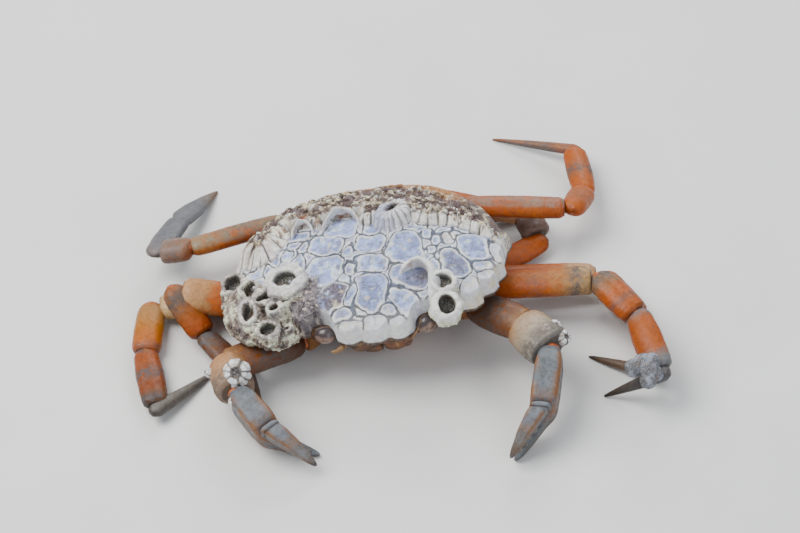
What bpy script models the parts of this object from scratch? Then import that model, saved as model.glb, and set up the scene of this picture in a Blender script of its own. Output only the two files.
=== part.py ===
"""Shore crab with barnacle scars on its shell, a still, life-size model standing on the floor.

The crab faces -Y, its left side is +X and the floor is at z = 0. Sizes below are in millimetres and
degrees. The body is modelled in its own frame, belly at z = 0, and leans a few degrees as the crab
stands, while each leg is laid out joint by joint in the frame of the floor.
"""

import math
import random

import bmesh
import bpy
from mathutils import Matrix, Vector

MM = 0.001
GAP = 0.3
BODY_ROLL = -6.0
BODY_LIFT = 1.2
CENTRE_SHIFT = Vector((-1.99, -3.11, 0.0))

HALF_WIDTH = 32.0
HALF_LENGTH = 25.0
RIM_HEIGHT = 14.2
RIM_SLOPE = 0.025
DOME_RISE = 9.3
UNDERSIDE = 12.0
SHELL_EDGE = 1.3

PLATE_RIM = 0.6
PLATE_RAISE = 0.45
PLATE_GROOVE = 0.25
PLATE_DISH = 0.15

BELLY = 1.8
TIP_HEIGHT = 0.25

FRONT_EDGE = [
    (0.0, -25.0), (3.2, -23.9), (6.2, -24.6), (8.6, -23.2), (9.4, -21.0), (11.6, -19.9), (14.2, -19.9),
]
LEFT_TEETH = [
    ((16.6, -20.9), (19.2, -19.5), (19.3, -18.1)),
    ((22.6, -18.0), (24.6, -16.4), (24.3, -14.6)),
    ((27.0, -13.6), (28.1, -11.9), (27.7, -10.6)),
    ((29.4, -9.0), (29.8, -7.8), (29.1, -6.4)),
    ((29.9, -1.6), (31.2, 0.9), (29.4, 2.2)),
]
RIGHT_TEETH = [
    ((16.6, -20.8), (18.8, -18.8), (18.8, -17.2)),
    ((21.9, -16.8), (23.6, -14.9), (23.3, -13.2)),
    ((26.4, -12.2), (27.7, -10.2), (27.2, -8.8)),
    ((30.0, -7.3), (30.9, -5.4), (30.6, -3.6)),
    ((33.4, -1.2), (34.2, 2.2), (33.2, 4.6)),
]
LEFT_REAR = [(27.8, 5.7), (25.4, 9.8), (18.8, 16.5), (12.8, 21.6), (7.5, 24.3), (0.0, 25.0)]
RIGHT_REAR = [(30.4, 9.0), (26.6, 12.6), (22.0, 16.8), (17.6, 20.4), (13.0, 23.4), (7.5, 24.8)]

LARGE_PLATES = [
    (-10.5, -1.0, 3.4), (0.5, -3.0, 2.9), (8.5, -5.0, 4.1), (1.0, -9.5, 3.1), (-10.0, -9.0, 4.1),
    (0.0, -16.5, 4.3), (-8.5, -18.0, 3.8), (8.5, -18.5, 3.9), (11.0, -12.5, 3.8), (-4.0, -18.0, 1.7),
    (-5.5, -13.5, 1.9), (-4.0, -9.5, 1.5), (-4.5, -5.0, 1.8), (4.5, -21.5, 1.6), (23.5, -5.0, 3.8),
    (19.0, -11.0, 3.5), (25.0, -10.5, 2.0), (28.0, -5.5, 2.2), (22.5, -16.5, 2.2), (15.5, -3.0, 1.5),
    (14.5, -6.5, 1.6), (17.5, -1.0, 1.5), (18.5, -4.5, 1.4), (-18.5, -2.0, 1.8), (-6.5, 3.0, 3.6),
    (-16.0, 5.0, 2.6), (7.5, 3.0, 3.2), (14.5, -9.5, 1.7), (-16.0, -7.0, 2.4), (0.5, 3.5, 2.6),
    (13.0, 2.0, 2.3), (20.5, 1.0, 2.0), (-14.5, -13.0, 2.5), (-14.0, -19.0, 2.4),
]
FILL_PLATE_RADIUS = 2.3
FILL_PLATE_GAP = 5.0
FILL_SEED = 7

CRUST_CENTRE = Vector((-27.0, -10.0, 12.5))
CRUST_RADII = Vector((9.0, 12.0, 5.4))
CRUST_FLOOR = 13.2

CRATERS = [
    (-19.2, -10.9, 5.2, 2.5, 2.7), (-24.2, -13.9, 3.4, 1.8, 2.8), (-21.9, -17.6, 2.4, 1.1, 2.7),
    (-23.4, -21.6, 3.7, 1.8, 4.4), (-28.8, -15.7, 3.2, 1.5, 3.6), (-33.0, -3.1, 4.0, 2.0, 2.4),
    (-28.8, -8.8, 3.4, 1.5, 2.1), (-18.4, -15.2, 2.4, 1.1, 1.3), (16.9, -15.9, 3.0, 1.5, 2.4),
    (17.4, -21.6, 3.4, 1.9, 3.2), (10.9, -13.8, 4.6, 3.3, 1.6), (5.4, 4.4, 6.0, 1.5, 3.1),
    (-6.6, 6.2, 4.2, 2.9, 1.8), (-15.6, 4.8, 2.9, 1.9, 1.6),
]
CRATER_LEVELS = (
    (1.04, 0.0, -2.0, 0.0), (1.0, 0.0, -0.3, 0.0), (0.56, 0.56, 0.0, 0.7), (0.0, 1.28, 0.0, 1.0),
    (0.0, 1.0, 0.0, 0.86), (0.0, 0.72, 0.0, 0.1),
)
CRATER_SIDES = 12
WALL_LINE = [
    (-33.5, 5.5), (-30.0, 4.2), (-24.4, 3.6), (-19.0, 4.4), (-12.6, 5.2), (-10.6, 6.6), (-2.0, 6.0),
    (0.5, 4.6), (10.6, 3.6), (16.2, 3.2), (22.9, 1.2), (29.0, -1.0),
]
WALL_COUNT = 26
WALL_STEP = 2.45

EYE_PLACE = Vector((11.7, -21.0, 14.4))
EYE_RADIUS = 1.9
FEELER_RUNS = {
    "left": [
        (7.2, -21.4, 11.9, 1.6), (7.6, -22.6, 12.6, 1.5), (8.0, -23.8, 13.3, 1.1), (8.8, -24.4, 14.4, 0.85),
        (9.8, -24.2, 15.8, 0.7), (10.6, -23.6, 17.2, 0.6), (11.1, -22.9, 18.5, 0.5),
    ],
    "right": [
        (7.2, -21.4, 11.9, 1.6), (7.6, -22.6, 12.2, 1.5), (8.2, -23.9, 12.4, 1.2), (9.2, -24.8, 12.7, 0.9),
        (10.3, -25.3, 13.1, 0.6),
    ],
}
MOUTH_LEVELS = (
    (3.6, 0.4, 4.6, -17.4), (5.5, 0.4, 6.4, -18.6), (8.5, 0.4, 7.6, -20.0), (11.2, 0.5, 7.0, -21.0),
)


def palette() -> dict:
    """Colour, roughness and metallic value of every finish."""
    return {
        "shell_scarred": ((0.56, 0.58, 0.66), 0.62, 0.0),
        "shell_brown": ((0.36, 0.19, 0.10), 0.45, 0.0),
        "belly_cream": ((0.66, 0.50, 0.32), 0.50, 0.0),
        "leg_orange": ((0.80, 0.30, 0.07), 0.38, 0.0),
        "leg_tip": ((0.45, 0.30, 0.22), 0.42, 0.0),
        "claw_grey": ((0.46, 0.47, 0.48), 0.42, 0.0),
        "eye_dark": ((0.06, 0.035, 0.03), 0.12, 0.0),
    }


def material(slot: str) -> bpy.types.Material:
    """Return the finish of a slot, made on its first use."""
    found = bpy.data.materials.get(slot)
    if found:
        return found
    colour, roughness, metallic = palette()[slot]
    made = bpy.data.materials.new(slot)
    made.use_nodes = True
    shader = made.node_tree.nodes["Principled BSDF"]
    shader.inputs["Base Color"].default_value = (*colour, 1.0)
    shader.inputs["Roughness"].default_value = roughness
    shader.inputs["Metallic"].default_value = metallic
    return made


def clear_scene() -> None:
    """Remove whatever the scene holds."""
    for old in list(bpy.data.objects):
        bpy.data.objects.remove(old, do_unlink=True)


def body_matrix() -> Matrix:
    """Place of the body frame in the frame of the floor."""
    lean = Matrix.Rotation(math.radians(BODY_ROLL), 4, "Y")
    return Matrix.Translation(Vector((0.0, 0.0, BODY_LIFT)) + CENTRE_SHIFT) @ lean


def floor_matrix() -> Matrix:
    """Place of the legs' frame in the frame of the floor."""
    return Matrix.Translation(CENTRE_SHIFT)


def flatten_below(bm: bmesh.types.BMesh, height: float) -> None:
    """Cut away what lies below a height and close the mesh with a flat."""
    geometry = bm.verts[:] + bm.edges[:] + bm.faces[:]
    level = Vector((0.0, 0.0, height))
    down = Vector((0.0, 0.0, -1.0))
    cut = bmesh.ops.bisect_plane(
        bm, geom=geometry, dist=1e-5, plane_co=level, plane_no=down, clear_outer=True
    )
    edges = [e for e in cut["geom_cut"] if isinstance(e, bmesh.types.BMEdge)]
    if edges:
        bmesh.ops.edgeloop_fill(bm, edges=edges)
    bmesh.ops.recalc_face_normals(bm, faces=bm.faces[:])


def loft(rings: list) -> bmesh.types.BMesh:
    """Skin a row of rings that have the same number of points, and cap both ends."""
    bm = bmesh.new()
    loops = [[bm.verts.new(point) for point in ring] for ring in rings]
    count = len(rings[0])
    for first, second in zip(loops, loops[1:]):
        for i in range(count):
            j = (i + 1) % count
            bm.faces.new((first[i], first[j], second[j], second[i]))
    bm.faces.new(list(reversed(loops[0])))
    bm.faces.new(loops[-1])
    bmesh.ops.recalc_face_normals(bm, faces=bm.faces[:])
    return bm


def largest_shell(bm: bmesh.types.BMesh) -> None:
    """Keep only the closed surface that encloses the most."""
    left = set(bm.faces)
    shells = []
    while left:
        start = left.pop()
        shell = {start}
        front = [start]
        while front:
            face = front.pop()
            for edge in face.edges:
                for near in edge.link_faces:
                    if near in left:
                        left.discard(near)
                        shell.add(near)
                        front.append(near)
        shells.append(shell)
    shells.sort(key=lambda faces: sum(face.calc_area() for face in faces))
    for shell in shells[:-1]:
        bmesh.ops.delete(bm, geom=list(shell), context="FACES")
    loose = [v for v in bm.verts if not v.link_faces]
    bmesh.ops.delete(bm, geom=loose, context="VERTS")


def make_object(name: str, bm: bmesh.types.BMesh, slot: str, place: Matrix) -> bpy.types.Object:
    """Turn a bmesh in millimetres into a named object in metres."""
    bmesh.ops.triangulate(bm, faces=[face for face in bm.faces if len(face.verts) > 4])
    bmesh.ops.transform(bm, matrix=Matrix.Scale(MM, 4) @ place, verts=bm.verts[:])
    mesh = bpy.data.meshes.new(name)
    bm.to_mesh(mesh)
    bm.free()
    mesh.shade_smooth()
    mesh.set_sharp_from_angle(angle=math.radians(38.0))
    made = bpy.data.objects.new(name, mesh)
    made.data.materials.append(material(slot))
    bpy.context.scene.collection.objects.link(made)
    return made


def combine(target: bpy.types.Object, tools: list, operation: str, solver: str = "EXACT") -> None:
    """Apply one Boolean with a collection of tools to the target and remove the tools."""
    bench = bpy.data.collections.new("bench")
    bpy.context.scene.collection.children.link(bench)
    for tool in tools:
        bench.objects.link(tool)
    cut = target.modifiers.new("combine", "BOOLEAN")
    cut.operation = operation
    cut.operand_type = "COLLECTION"
    cut.collection = bench
    cut.solver = solver
    view = bpy.context.evaluated_depsgraph_get()
    result = bpy.data.meshes.new_from_object(target.evaluated_get(view))
    target.modifiers.remove(cut)
    target.data = result
    for tool in tools:
        bpy.data.objects.remove(tool, do_unlink=True)
    bpy.data.collections.remove(bench)
    bm = bmesh.new()
    bm.from_mesh(result)
    bmesh.ops.remove_doubles(bm, verts=bm.verts[:], dist=0.002 * MM)
    largest_shell(bm)
    bmesh.ops.triangulate(bm, faces=bm.faces[:])
    bm.to_mesh(result)
    bm.free()


def rim_height(y: float) -> float:
    """Height of the shell's margin, a little lower towards the rear."""
    return RIM_HEIGHT - RIM_SLOPE * y


def dome_height(x: float, y: float) -> float:
    """Height of the shell's back over a point, falling more gently towards the rear."""
    if y > -1.0:
        inside = 1.0 - (abs(x) / 33.0) ** 2.4 - ((y + 1.0) / 26.0) ** 2
        ease = min(1.0, (y + 1.0) / 15.0)
        power = 0.6 + 0.17 * ease * ease * (3.0 - 2.0 * ease)
    else:
        inside = 1.0 - (abs(x) / 33.0) ** 2.4 - (abs(y + 1.0) / 25.5) ** 2.6
        power = 0.6
    return rim_height(y) + DOME_RISE * max(0.0, inside) ** power


def margin() -> list:
    """Points of the shell's outline, anticlockwise from the middle of the front."""
    left = list(FRONT_EDGE)
    for tooth in LEFT_TEETH:
        left.extend(tooth)
    left.extend(LEFT_REAR)
    right = list(FRONT_EDGE[1:])
    for tooth in RIGHT_TEETH:
        right.extend(tooth)
    right.extend(RIGHT_REAR)
    mirrored = [(-x, y) for x, y in reversed(right)]
    return [Vector((x, y, 0.0)) for x, y in left + mirrored]


def plate_field() -> list:
    """Smooth outline of the area that the plates cover, inside the teeth."""
    steps = 44
    points = []
    for i in range(steps):
        turn = 2.0 * math.pi * i / steps
        c = math.cos(turn)
        s = math.sin(turn)
        reach = 20.0 if s > 0.0 else 21.6
        wide = (27.0 if s > 0.0 else 26.9) - 4.5 * max(0.0, s) ** 2
        x = wide * math.copysign(abs(c) ** 0.86, c)
        y = reach * math.copysign(abs(s) ** 0.86, s) - 0.8
        points.append((x, y))
    return points


def plate_seeds() -> list:
    """Centres and radii of all plates: the large ones by hand, the rest strewn between them."""
    draw = random.Random(FILL_SEED)
    seeds = list(LARGE_PLATES)
    for _ in range(1500):
        x = draw.uniform(-28.0, 28.0)
        y = draw.uniform(-22.0, 22.0)
        if (abs(x) / 28.0) ** 2.3 + (abs(y + 0.8) / 22.4) ** 2.3 > 0.97:
            continue
        if all(math.hypot(x - a, y - b) > r * 0.6 + FILL_PLATE_GAP * 0.62 for a, b, r in seeds):
            seeds.append((x, y, FILL_PLATE_RADIUS * draw.uniform(0.7, 1.1)))
    return seeds


def plate_outline(field: list, index: int, seeds: list) -> list:
    """Cut one plate out of the field along the grooves that it shares with the other plates."""
    bm = bmesh.new()
    bm.faces.new([bm.verts.new((x, y, 0.0)) for x, y in field])
    x, y, radius = seeds[index]
    for other, (a, b, reach) in enumerate(seeds):
        span = math.hypot(a - x, b - y)
        if other == index or span > 26.0:
            continue
        share = 0.5 * (span * span + radius * radius - reach * reach) / (span * span)
        middle = Vector((x + (a - x) * share, y + (b - y) * share, 0.0))
        away = Vector((a - x, b - y, 0.0))
        geometry = bm.verts[:] + bm.edges[:] + bm.faces[:]
        bmesh.ops.bisect_plane(
            bm, geom=geometry, dist=1e-5, plane_co=middle, plane_no=away, clear_outer=True
        )
    corners = [[v.co.copy() for v in face.verts] for face in bm.faces]
    bm.free()
    return corners[0] if corners else []


def zip_loops(bm: bmesh.types.BMesh, inner: list, outer: list) -> None:
    """Join two loops round the middle of the shell with one band of triangles."""
    def turn(vertex) -> float:
        return math.atan2(vertex.co.y, vertex.co.x)

    inner = sorted(inner, key=turn)
    outer = sorted(outer, key=turn)
    i = 0
    j = 0
    while i < len(inner) or j < len(outer):
        next_inner = turn(inner[i % len(inner)]) + (2.0 * math.pi if i >= len(inner) else 0.0)
        next_outer = turn(outer[j % len(outer)]) + (2.0 * math.pi if j >= len(outer) else 0.0)
        a = inner[(i - 1) % len(inner)]
        b = outer[(j - 1) % len(outer)]
        if j >= len(outer) or (i < len(inner) and next_inner <= next_outer):
            bm.faces.new((a, b, inner[i % len(inner)]))
            i += 1
        else:
            bm.faces.new((a, b, outer[j % len(outer)]))
            j += 1


def shrink_face(bm: bmesh.types.BMesh, face, step: float, height: float) -> None:
    """Inset a plate towards its middle by a fixed step and set the height of the new ring."""
    middle = face.calc_center_median()
    span = sum((v.co - middle).length for v in face.verts) / len(face.verts)
    bmesh.ops.inset_individual(bm, faces=[face], thickness=0.0)
    for v in face.verts:
        v.co.x += (middle.x - v.co.x) * min(0.45, step / span)
        v.co.y += (middle.y - v.co.y) * min(0.45, step / span)
        v.co.z = height


def shell_with_plates() -> bmesh.types.BMesh:
    """The domed shell, its toothed margin and the raised plates on its back."""
    bm = bmesh.new()
    field = plate_field()
    seeds = plate_seeds()
    plates = []
    for index in range(len(seeds)):
        corners = plate_outline(field, index, seeds)
        if len(corners) > 2:
            plates.append((bm.faces.new([bm.verts.new(corner) for corner in corners]), seeds[index][2]))
    bmesh.ops.remove_doubles(bm, verts=bm.verts[:], dist=0.06)
    faces = list(bm.faces)
    border = [v for v in bm.verts if any(len(edge.link_faces) == 1 for edge in v.link_edges)]
    for face in faces:
        size = math.sqrt(face.calc_area() / math.pi)
        shrink_face(bm, face, 0.35, PLATE_RAISE)
        if size > 2.1:
            shrink_face(bm, face, PLATE_RIM, PLATE_RAISE)
            shrink_face(bm, face, 0.3, PLATE_DISH)
    rim = [bm.verts.new(point) for point in margin()]
    zip_loops(bm, border, rim)
    for v in bm.verts:
        groove = -PLATE_GROOVE if abs(v.co.z) < 1e-6 else 0.0
        v.co.z += dome_height(v.co.x, v.co.y) + groove
    for v in rim:
        v.co.z = rim_height(v.co.y)
    lower = [bm.verts.new((v.co.x * 0.985, v.co.y * 0.985, v.co.z - SHELL_EDGE)) for v in rim]
    inner = [bm.verts.new((v.co.x * 0.93, v.co.y * 0.93, UNDERSIDE)) for v in rim]
    for first, second in ((rim, lower), (lower, inner)):
        for i, vertex in enumerate(first):
            j = (i + 1) % len(first)
            bm.faces.new((vertex, second[i], second[j], first[j]))
    bm.faces.new(inner)
    bmesh.ops.recalc_face_normals(bm, faces=bm.faces[:])
    return bm


def crater(x: float, y: float, radius: float, mouth: float, height: float, draw) -> bmesh.types.BMesh:
    """A standing barnacle: a ribbed cone with a deep mouth, its foot sunk into the shell."""
    base = crust_height(x, y)
    turn = draw.uniform(0.0, math.pi)
    squash = draw.uniform(0.7, 0.85)
    floor = CRUST_FLOOR + 0.2
    levels = []
    for outer, inner, drop, rise in CRATER_LEVELS:
        levels.append((outer * radius + inner * mouth, max(base + drop + rise * height, floor)))
    rings = []
    for level, (reach, z) in enumerate(levels):
        ring = []
        for i in range(CRATER_SIDES):
            angle = 2.0 * math.pi * i / CRATER_SIDES
            ridge = 1.0 + (0.07 if i % 2 else -0.05) * (level < 4)
            flat = squash if level > 3 else 0.5 + 0.5 * squash
            u = Vector((math.cos(angle) * reach * ridge, math.sin(angle) * reach * ridge * flat, 0.0))
            ring.append(Matrix.Rotation(turn, 3, "Z") @ u + Vector((x, y, z)))
        rings.append(ring)
    return loft(rings)


def barnacle_wall(x: float, y: float, lean: float, draw) -> bmesh.types.BMesh:
    """One tapered wall plate of a broken barnacle, rooted in the shell and leaning to the rear."""
    base = dome_height(x, y)
    wide = draw.uniform(0.75, 1.05)
    deep = draw.uniform(1.5, 2.3)
    tall = draw.uniform(1.5, 2.4)
    rings = []
    for level, (z, shrink) in enumerate(((-1.6, 1.0), (tall * 0.5, 0.85), (tall, 0.5))):
        ring = []
        for cx, cy in ((-1, -1), (1, -1), (1, 1), (-1, 1)):
            spot = Vector((cx * wide * shrink, cy * deep * shrink + 0.35 * level, 0.0))
            ring.append(Matrix.Rotation(lean, 3, "Z") @ spot + Vector((x, y, base + z)))
        rings.append(ring)
    return loft(rings)


def wall_line(x: float) -> float:
    """Place of the broken walls along the back, from their line of points."""
    for (x0, y0), (x1, y1) in zip(WALL_LINE, WALL_LINE[1:]):
        if x <= x1:
            return y0 + (y1 - y0) * (x - x0) / (x1 - x0)
    return WALL_LINE[-1][1]


def crust() -> bmesh.types.BMesh:
    """Lumpy crust that carries the barnacles over the right front margin."""
    draw = random.Random(3)
    bm = bmesh.new()
    bmesh.ops.create_icosphere(bm, subdivisions=2, radius=1.0)
    for v in bm.verts:
        swell = 1.0 + draw.uniform(-0.07, 0.07)
        v.co = CRUST_CENTRE + v.co * CRUST_RADII * swell
    flatten_below(bm, CRUST_FLOOR)
    return bm


def crust_height(x: float, y: float) -> float:
    """Height of the shell or of the crust over a point, whichever is higher."""
    u = (x - CRUST_CENTRE.x) / CRUST_RADII.x
    v = (y - CRUST_CENTRE.y) / CRUST_RADII.y
    swell = CRUST_CENTRE.z + CRUST_RADII.z * math.sqrt(max(0.0, 1.0 - u * u - v * v))
    inside = abs(x) < 33.0
    return max(swell, dome_height(x, y) if inside else 0.0)


def build_carapace() -> bpy.types.Object:
    """The shell with its plates, crust, standing barnacles and broken walls, fused into one body."""
    place = body_matrix()
    shell = make_object("carapace", shell_with_plates(), "shell_scarred", place)
    draw = random.Random(11)
    growths = [make_object("crust", crust(), "shell_scarred", place)]
    for index, (x, y, radius, mouth, height) in enumerate(CRATERS):
        body = crater(x, y, radius, mouth, height, draw)
        growths.append(make_object(f"crater_{index}", body, "shell_scarred", place))
    for index in range(WALL_COUNT):
        x = WALL_LINE[0][0] + WALL_STEP * (index + draw.uniform(-0.2, 0.2))
        y = wall_line(x) + draw.uniform(-0.4, 0.4)
        lean = -math.radians(x * 0.9)
        growths.append(make_object(f"wall_{index}", barnacle_wall(x, y, lean, draw), "shell_scarred", place))
    combine(shell, growths, "UNION")
    return shell


def body_ring(half_width: float, front: float, rear: float, z: float) -> list:
    """Egg-shaped ring round the body at one height."""
    sides = 20
    square = 0.8
    ring = []
    middle = (front + rear) / 2.0
    for i in range(sides):
        angle = 2.0 * math.pi * i / sides
        c = math.cos(angle)
        s = math.sin(angle)
        x = half_width * math.copysign(abs(c) ** square, c)
        y = middle + (rear - front) / 2.0 * math.copysign(abs(s) ** square, s)
        ring.append(Vector((x, y, z)))
    return ring


def thorax_mesh(grow: float = 0.0) -> bmesh.types.BMesh:
    """The body under the shell, from the mouth field to the rear, narrowing to the breastplate."""
    rings = [
        body_ring(9.5 + grow, -12.5 - grow, 12.5 + grow, BELLY - grow),
        body_ring(13.5 + grow, -15.0 - grow, 14.6 + grow, 3.4),
        body_ring(16.5 + grow, -17.2 - grow, 16.6 + grow, 6.4),
        body_ring(22.0 + grow, -19.2 - grow, 18.0 + grow, 9.2),
        body_ring(27.0 + grow, -20.4 - grow, 19.6 + grow, UNDERSIDE - GAP + grow),
    ]
    return loft(rings)


FLAP_SECTION = ((-1.0, -3.0), (-1.0, 0.2), (-0.5, 0.75), (0.5, 0.75), (1.0, 0.2), (1.0, -3.0))


def flap_mesh() -> bmesh.types.BMesh:
    """The folded tail flap, a tapered strip of segments from the rear edge to the breastplate."""
    run = [
        (20.6, 11.0, 8.5), (20.9, 8.6, 8.3), (19.8, 5.6, 8.0), (17.4, 3.0, 7.3), (13.6, 1.3, 6.4),
        (9.0, 0.85, 5.2), (3.5, 0.85, 3.9), (-1.5, 0.85, 2.8), (-5.5, 0.9, 1.3),
    ]
    rings = []
    for index, (y, z, half) in enumerate(run):
        before = run[max(0, index - 1)]
        after = run[min(len(run) - 1, index + 1)]
        along = Vector((0.0, after[0] - before[0], after[1] - before[1])).normalized()
        out = Vector((0.0, along.z, -along.y)) * -1.0
        if out.z > 0.3 or (out.y < 0.0 and index < 3):
            out = -out
        for swell in ((0.0, 0.85) if 0 < index < len(run) - 1 else (0.0,)):
            middle = Vector((0.0, y, z)) + along * swell * 0.4
            edge = half - swell * 0.35
            lift = -0.2 * (swell > 0.0)
            ring = []
            for side, height in FLAP_SECTION:
                height += lift if height > 0.0 else 0.0
                ring.append(middle + Vector((edge * side, 0.0, 0.0)) + out * height)
            rings.append(ring)
    return loft(rings)


def build_body_undersides() -> None:
    """Thorax and tail flap, the flap lying against the thorax with a hairline gap."""
    place = body_matrix()
    make_object("thorax", thorax_mesh(), "shell_brown", place)
    flap = make_object("abdomen", flap_mesh(), "belly_cream", place)
    combine(flap, [make_object("cutter", thorax_mesh(GAP), "shell_brown", place)], "DIFFERENCE")


def basis(axis: Vector, thin: Vector) -> tuple:
    """Wide and thin directions across an axis, from a wish for the thin one."""
    thin = (thin - axis * thin.dot(axis)).normalized()
    return axis.cross(thin).normalized(), thin


def limb_mesh(
    start: Vector, end: Vector, thin: Vector, wide: float, deep: float, profile: list, grow: float = 0.0
) -> bmesh.types.BMesh:
    """A limb segment: oval rings along a line.

    Each profile row is the place along the segment and the share of the width and depth there.
    """
    axis = (end - start).normalized()
    across, thin = basis(axis, thin)
    length = (end - start).length
    rings = []
    last = len(profile) - 1
    for index, (along, wide_share, deep_share) in enumerate(profile):
        push = -grow if index == 0 else grow if index == last else 0.0
        middle = start + axis * (along * length + push)
        ring = []
        for i in range(LIMB_SIDES):
            angle = 2.0 * math.pi * (i + 0.5) / LIMB_SIDES
            u = across * math.cos(angle) * (wide * wide_share / 2.0 + grow)
            v = thin * math.sin(angle) * (deep * deep_share / 2.0 + grow)
            ring.append(middle + u + v)
        rings.append(ring)
    return loft(rings)


LIMB_SIDES = 10
HIP = [(0.0, 0.86, 0.86), (0.3, 1.0, 1.0), (0.55, 0.88, 0.9), (0.85, 1.0, 1.0), (1.0, 0.8, 0.8)]
MERUS = [
    (0.0, 0.5, 0.5), (0.06, 0.72, 0.74), (0.3, 0.96, 0.96), (0.65, 1.0, 1.0), (0.93, 0.92, 0.95), (1.0, 0.66, 0.7),
]
CARPUS = [(0.0, 0.5, 0.5), (0.12, 0.78, 0.8), (0.5, 0.98, 0.98), (0.88, 1.0, 1.0), (1.0, 0.68, 0.7)]
PROPODUS = [(0.0, 0.5, 0.5), (0.1, 0.82, 0.85), (0.45, 1.0, 1.0), (0.9, 0.86, 0.9), (1.0, 0.6, 0.62)]
DACTYL = [
    (0.0, 0.6, 0.6), (0.08, 1.0, 1.0), (0.35, 0.86, 0.88), (0.7, 0.55, 0.6), (0.93, 0.3, 0.36), (1.0, 0.2, 0.26),
]
BLADE = [
    (0.0, 0.6, 0.8), (0.12, 1.0, 1.0), (0.4, 0.95, 0.9), (0.75, 0.55, 0.7), (0.94, 0.24, 0.5), (1.0, 0.14, 0.4),
]

WALKING_SIZES = {
    2: ((5.6, 5.2), (8.2, 5.0), (6.8, 4.8), (6.6, 4.2), (3.8, 2.8)),
    3: ((5.6, 5.2), (8.0, 4.8), (6.8, 4.6), (6.4, 4.0), (3.8, 2.8)),
    4: ((5.2, 4.8), (5.9, 4.3), (6.2, 4.5), (6.2, 4.2), (3.2, 2.4)),
    5: ((5.0, 4.6), (5.6, 3.9), (7.0, 5.2), (6.4, 3.0), (5.4, 1.8)),
}
WALKING_LENGTHS = {
    2: (28.0, 13.5, 16.5, 16.0),
    3: (29.0, 14.5, 17.5, 18.0),
    4: (25.0, 12.0, 16.5, 23.0),
    5: (23.5, 8.0, 14.5, 17.0),
}
PARTS = ("hip", "merus", "carpus", "propodus", "dactyl")

WALKING_LEGS = {
    "leg_2_left": (2, (15.3, -4.0, 8.8), (21.1, -5.0, 11.0), ((-3, 4), (-52, -6), (-74, -7)), 170),
    "leg_3_left": (3, (16.3, 2.0, 8.9), (21.5, 1.2, 5.6), ((2, -3), (-60, -2), (-78, -1)), 150),
    "leg_4_left": (4, (14.8, 9.0, 8.8), (19.0, 19.5, 13.0), ((-2, -4), (74, -24), (97, -5)), 153),
    "leg_5_left": (5, (9.5, 15.0, 9.0), (10.3, 25.6, 10.6), ((-6, -15), (-66, -10), (-152, -7)), 170),
    "leg_2_right": (2, (-16.5, -4.0, 5.2), (-22.7, -4.5, 5.2), ((173, 9.5), (-50, -28.5), (-50, -2)), -72),
    "leg_3_right": (3, (-17.5, 2.0, 5.0), (-27.6, 3.4, 3.6), ((-173.5, -1), (-90, 0), (-76, 0)), 48),
    "leg_4_right": (4, (-16.0, 8.0, 5.0), (-19.5, 13.5, 3.8), ((55, -2), (-25, -1), (-10, -2)), 8),
    "leg_5_right": (5, (-15.0, 15.0, 7.8), (-26.0, 20.5, 9.5), ((-160, 1), (172, -12), (72, -11)), 64),
}

CLAW_JOINTS = {
    "claw_left": (
        (12.0, -9.8, 8.5), (20.0, -10.6, 11.0), (31.9, -19.5, 12.5), (37.5, -27.3, 13.0),
        (35.2, -40.8, 8.6), (27.6, -49.6, 3.0), (28.4, -48.6, 0.6),
    ),
    "claw_right": (
        (-13.6, -9.4, 5.4), (-19.5, -14.8, 6.0), (-35.8, -23.9, 8.8), (-33.0, -33.4, 9.8),
        (-25.4, -43.0, 7.2), (-15.0, -49.2, 2.6), (-14.6, -44.6, 0.6),
    ),
}


def direction(azimuth: float, rise: float) -> Vector:
    """Unit vector from an angle round the vertical and a rise over the floor."""
    a = math.radians(azimuth)
    e = math.radians(rise)
    return Vector((math.cos(a) * math.cos(e), math.sin(a) * math.cos(e), math.sin(e)))


def leg_joints(name: str) -> list:
    """Joint points of a walking leg from its root to its tip, which ends on the floor."""
    pair, root, knee, angles, tip_azimuth = WALKING_LEGS[name]
    points = [Vector(root), Vector(knee)]
    for (azimuth, rise), length in zip(angles, WALKING_LENGTHS[pair]):
        points.append(points[-1] + direction(azimuth, rise) * length)
    last = WALKING_LENGTHS[pair][-1]
    fall = math.degrees(math.asin((points[-1].z - TIP_HEIGHT) / last))
    points.append(points[-1] + direction(tip_azimuth, -fall) * last)
    return points


def bend_normals(points: list) -> list:
    """Thin direction of each segment: the normal of the plane in which the limb bends there."""
    runs = [(b - a).normalized() for a, b in zip(points, points[1:])]
    normals = []
    for index, run in enumerate(runs):
        total = Vector((0.0, 0.0, 0.35))
        for first, second in ((index - 1, index), (index, index + 1)):
            if first >= 0 and second < len(runs):
                turn = runs[first].cross(runs[second])
                total += turn if turn.z >= 0.0 else -turn
        normals.append(total)
    return normals


def build_limb(name: str, specs: list) -> None:
    """Build the segments of one limb, each with its base hollowed to fit the segment before it.

    Each spec holds the part's name, a function of the growth that returns its mesh, and its finish.
    """
    place = floor_matrix()
    before = None
    for part, shape, slot in specs:
        piece = make_object(f"{name}_{part}", shape(0.0), slot, place)
        if before is None:
            cutter = make_object("cutter", thorax_mesh(GAP), slot, body_matrix())
        else:
            cutter = make_object("cutter", before(GAP), slot, place)
        combine(piece, [cutter], "DIFFERENCE")
        before = shape


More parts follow.
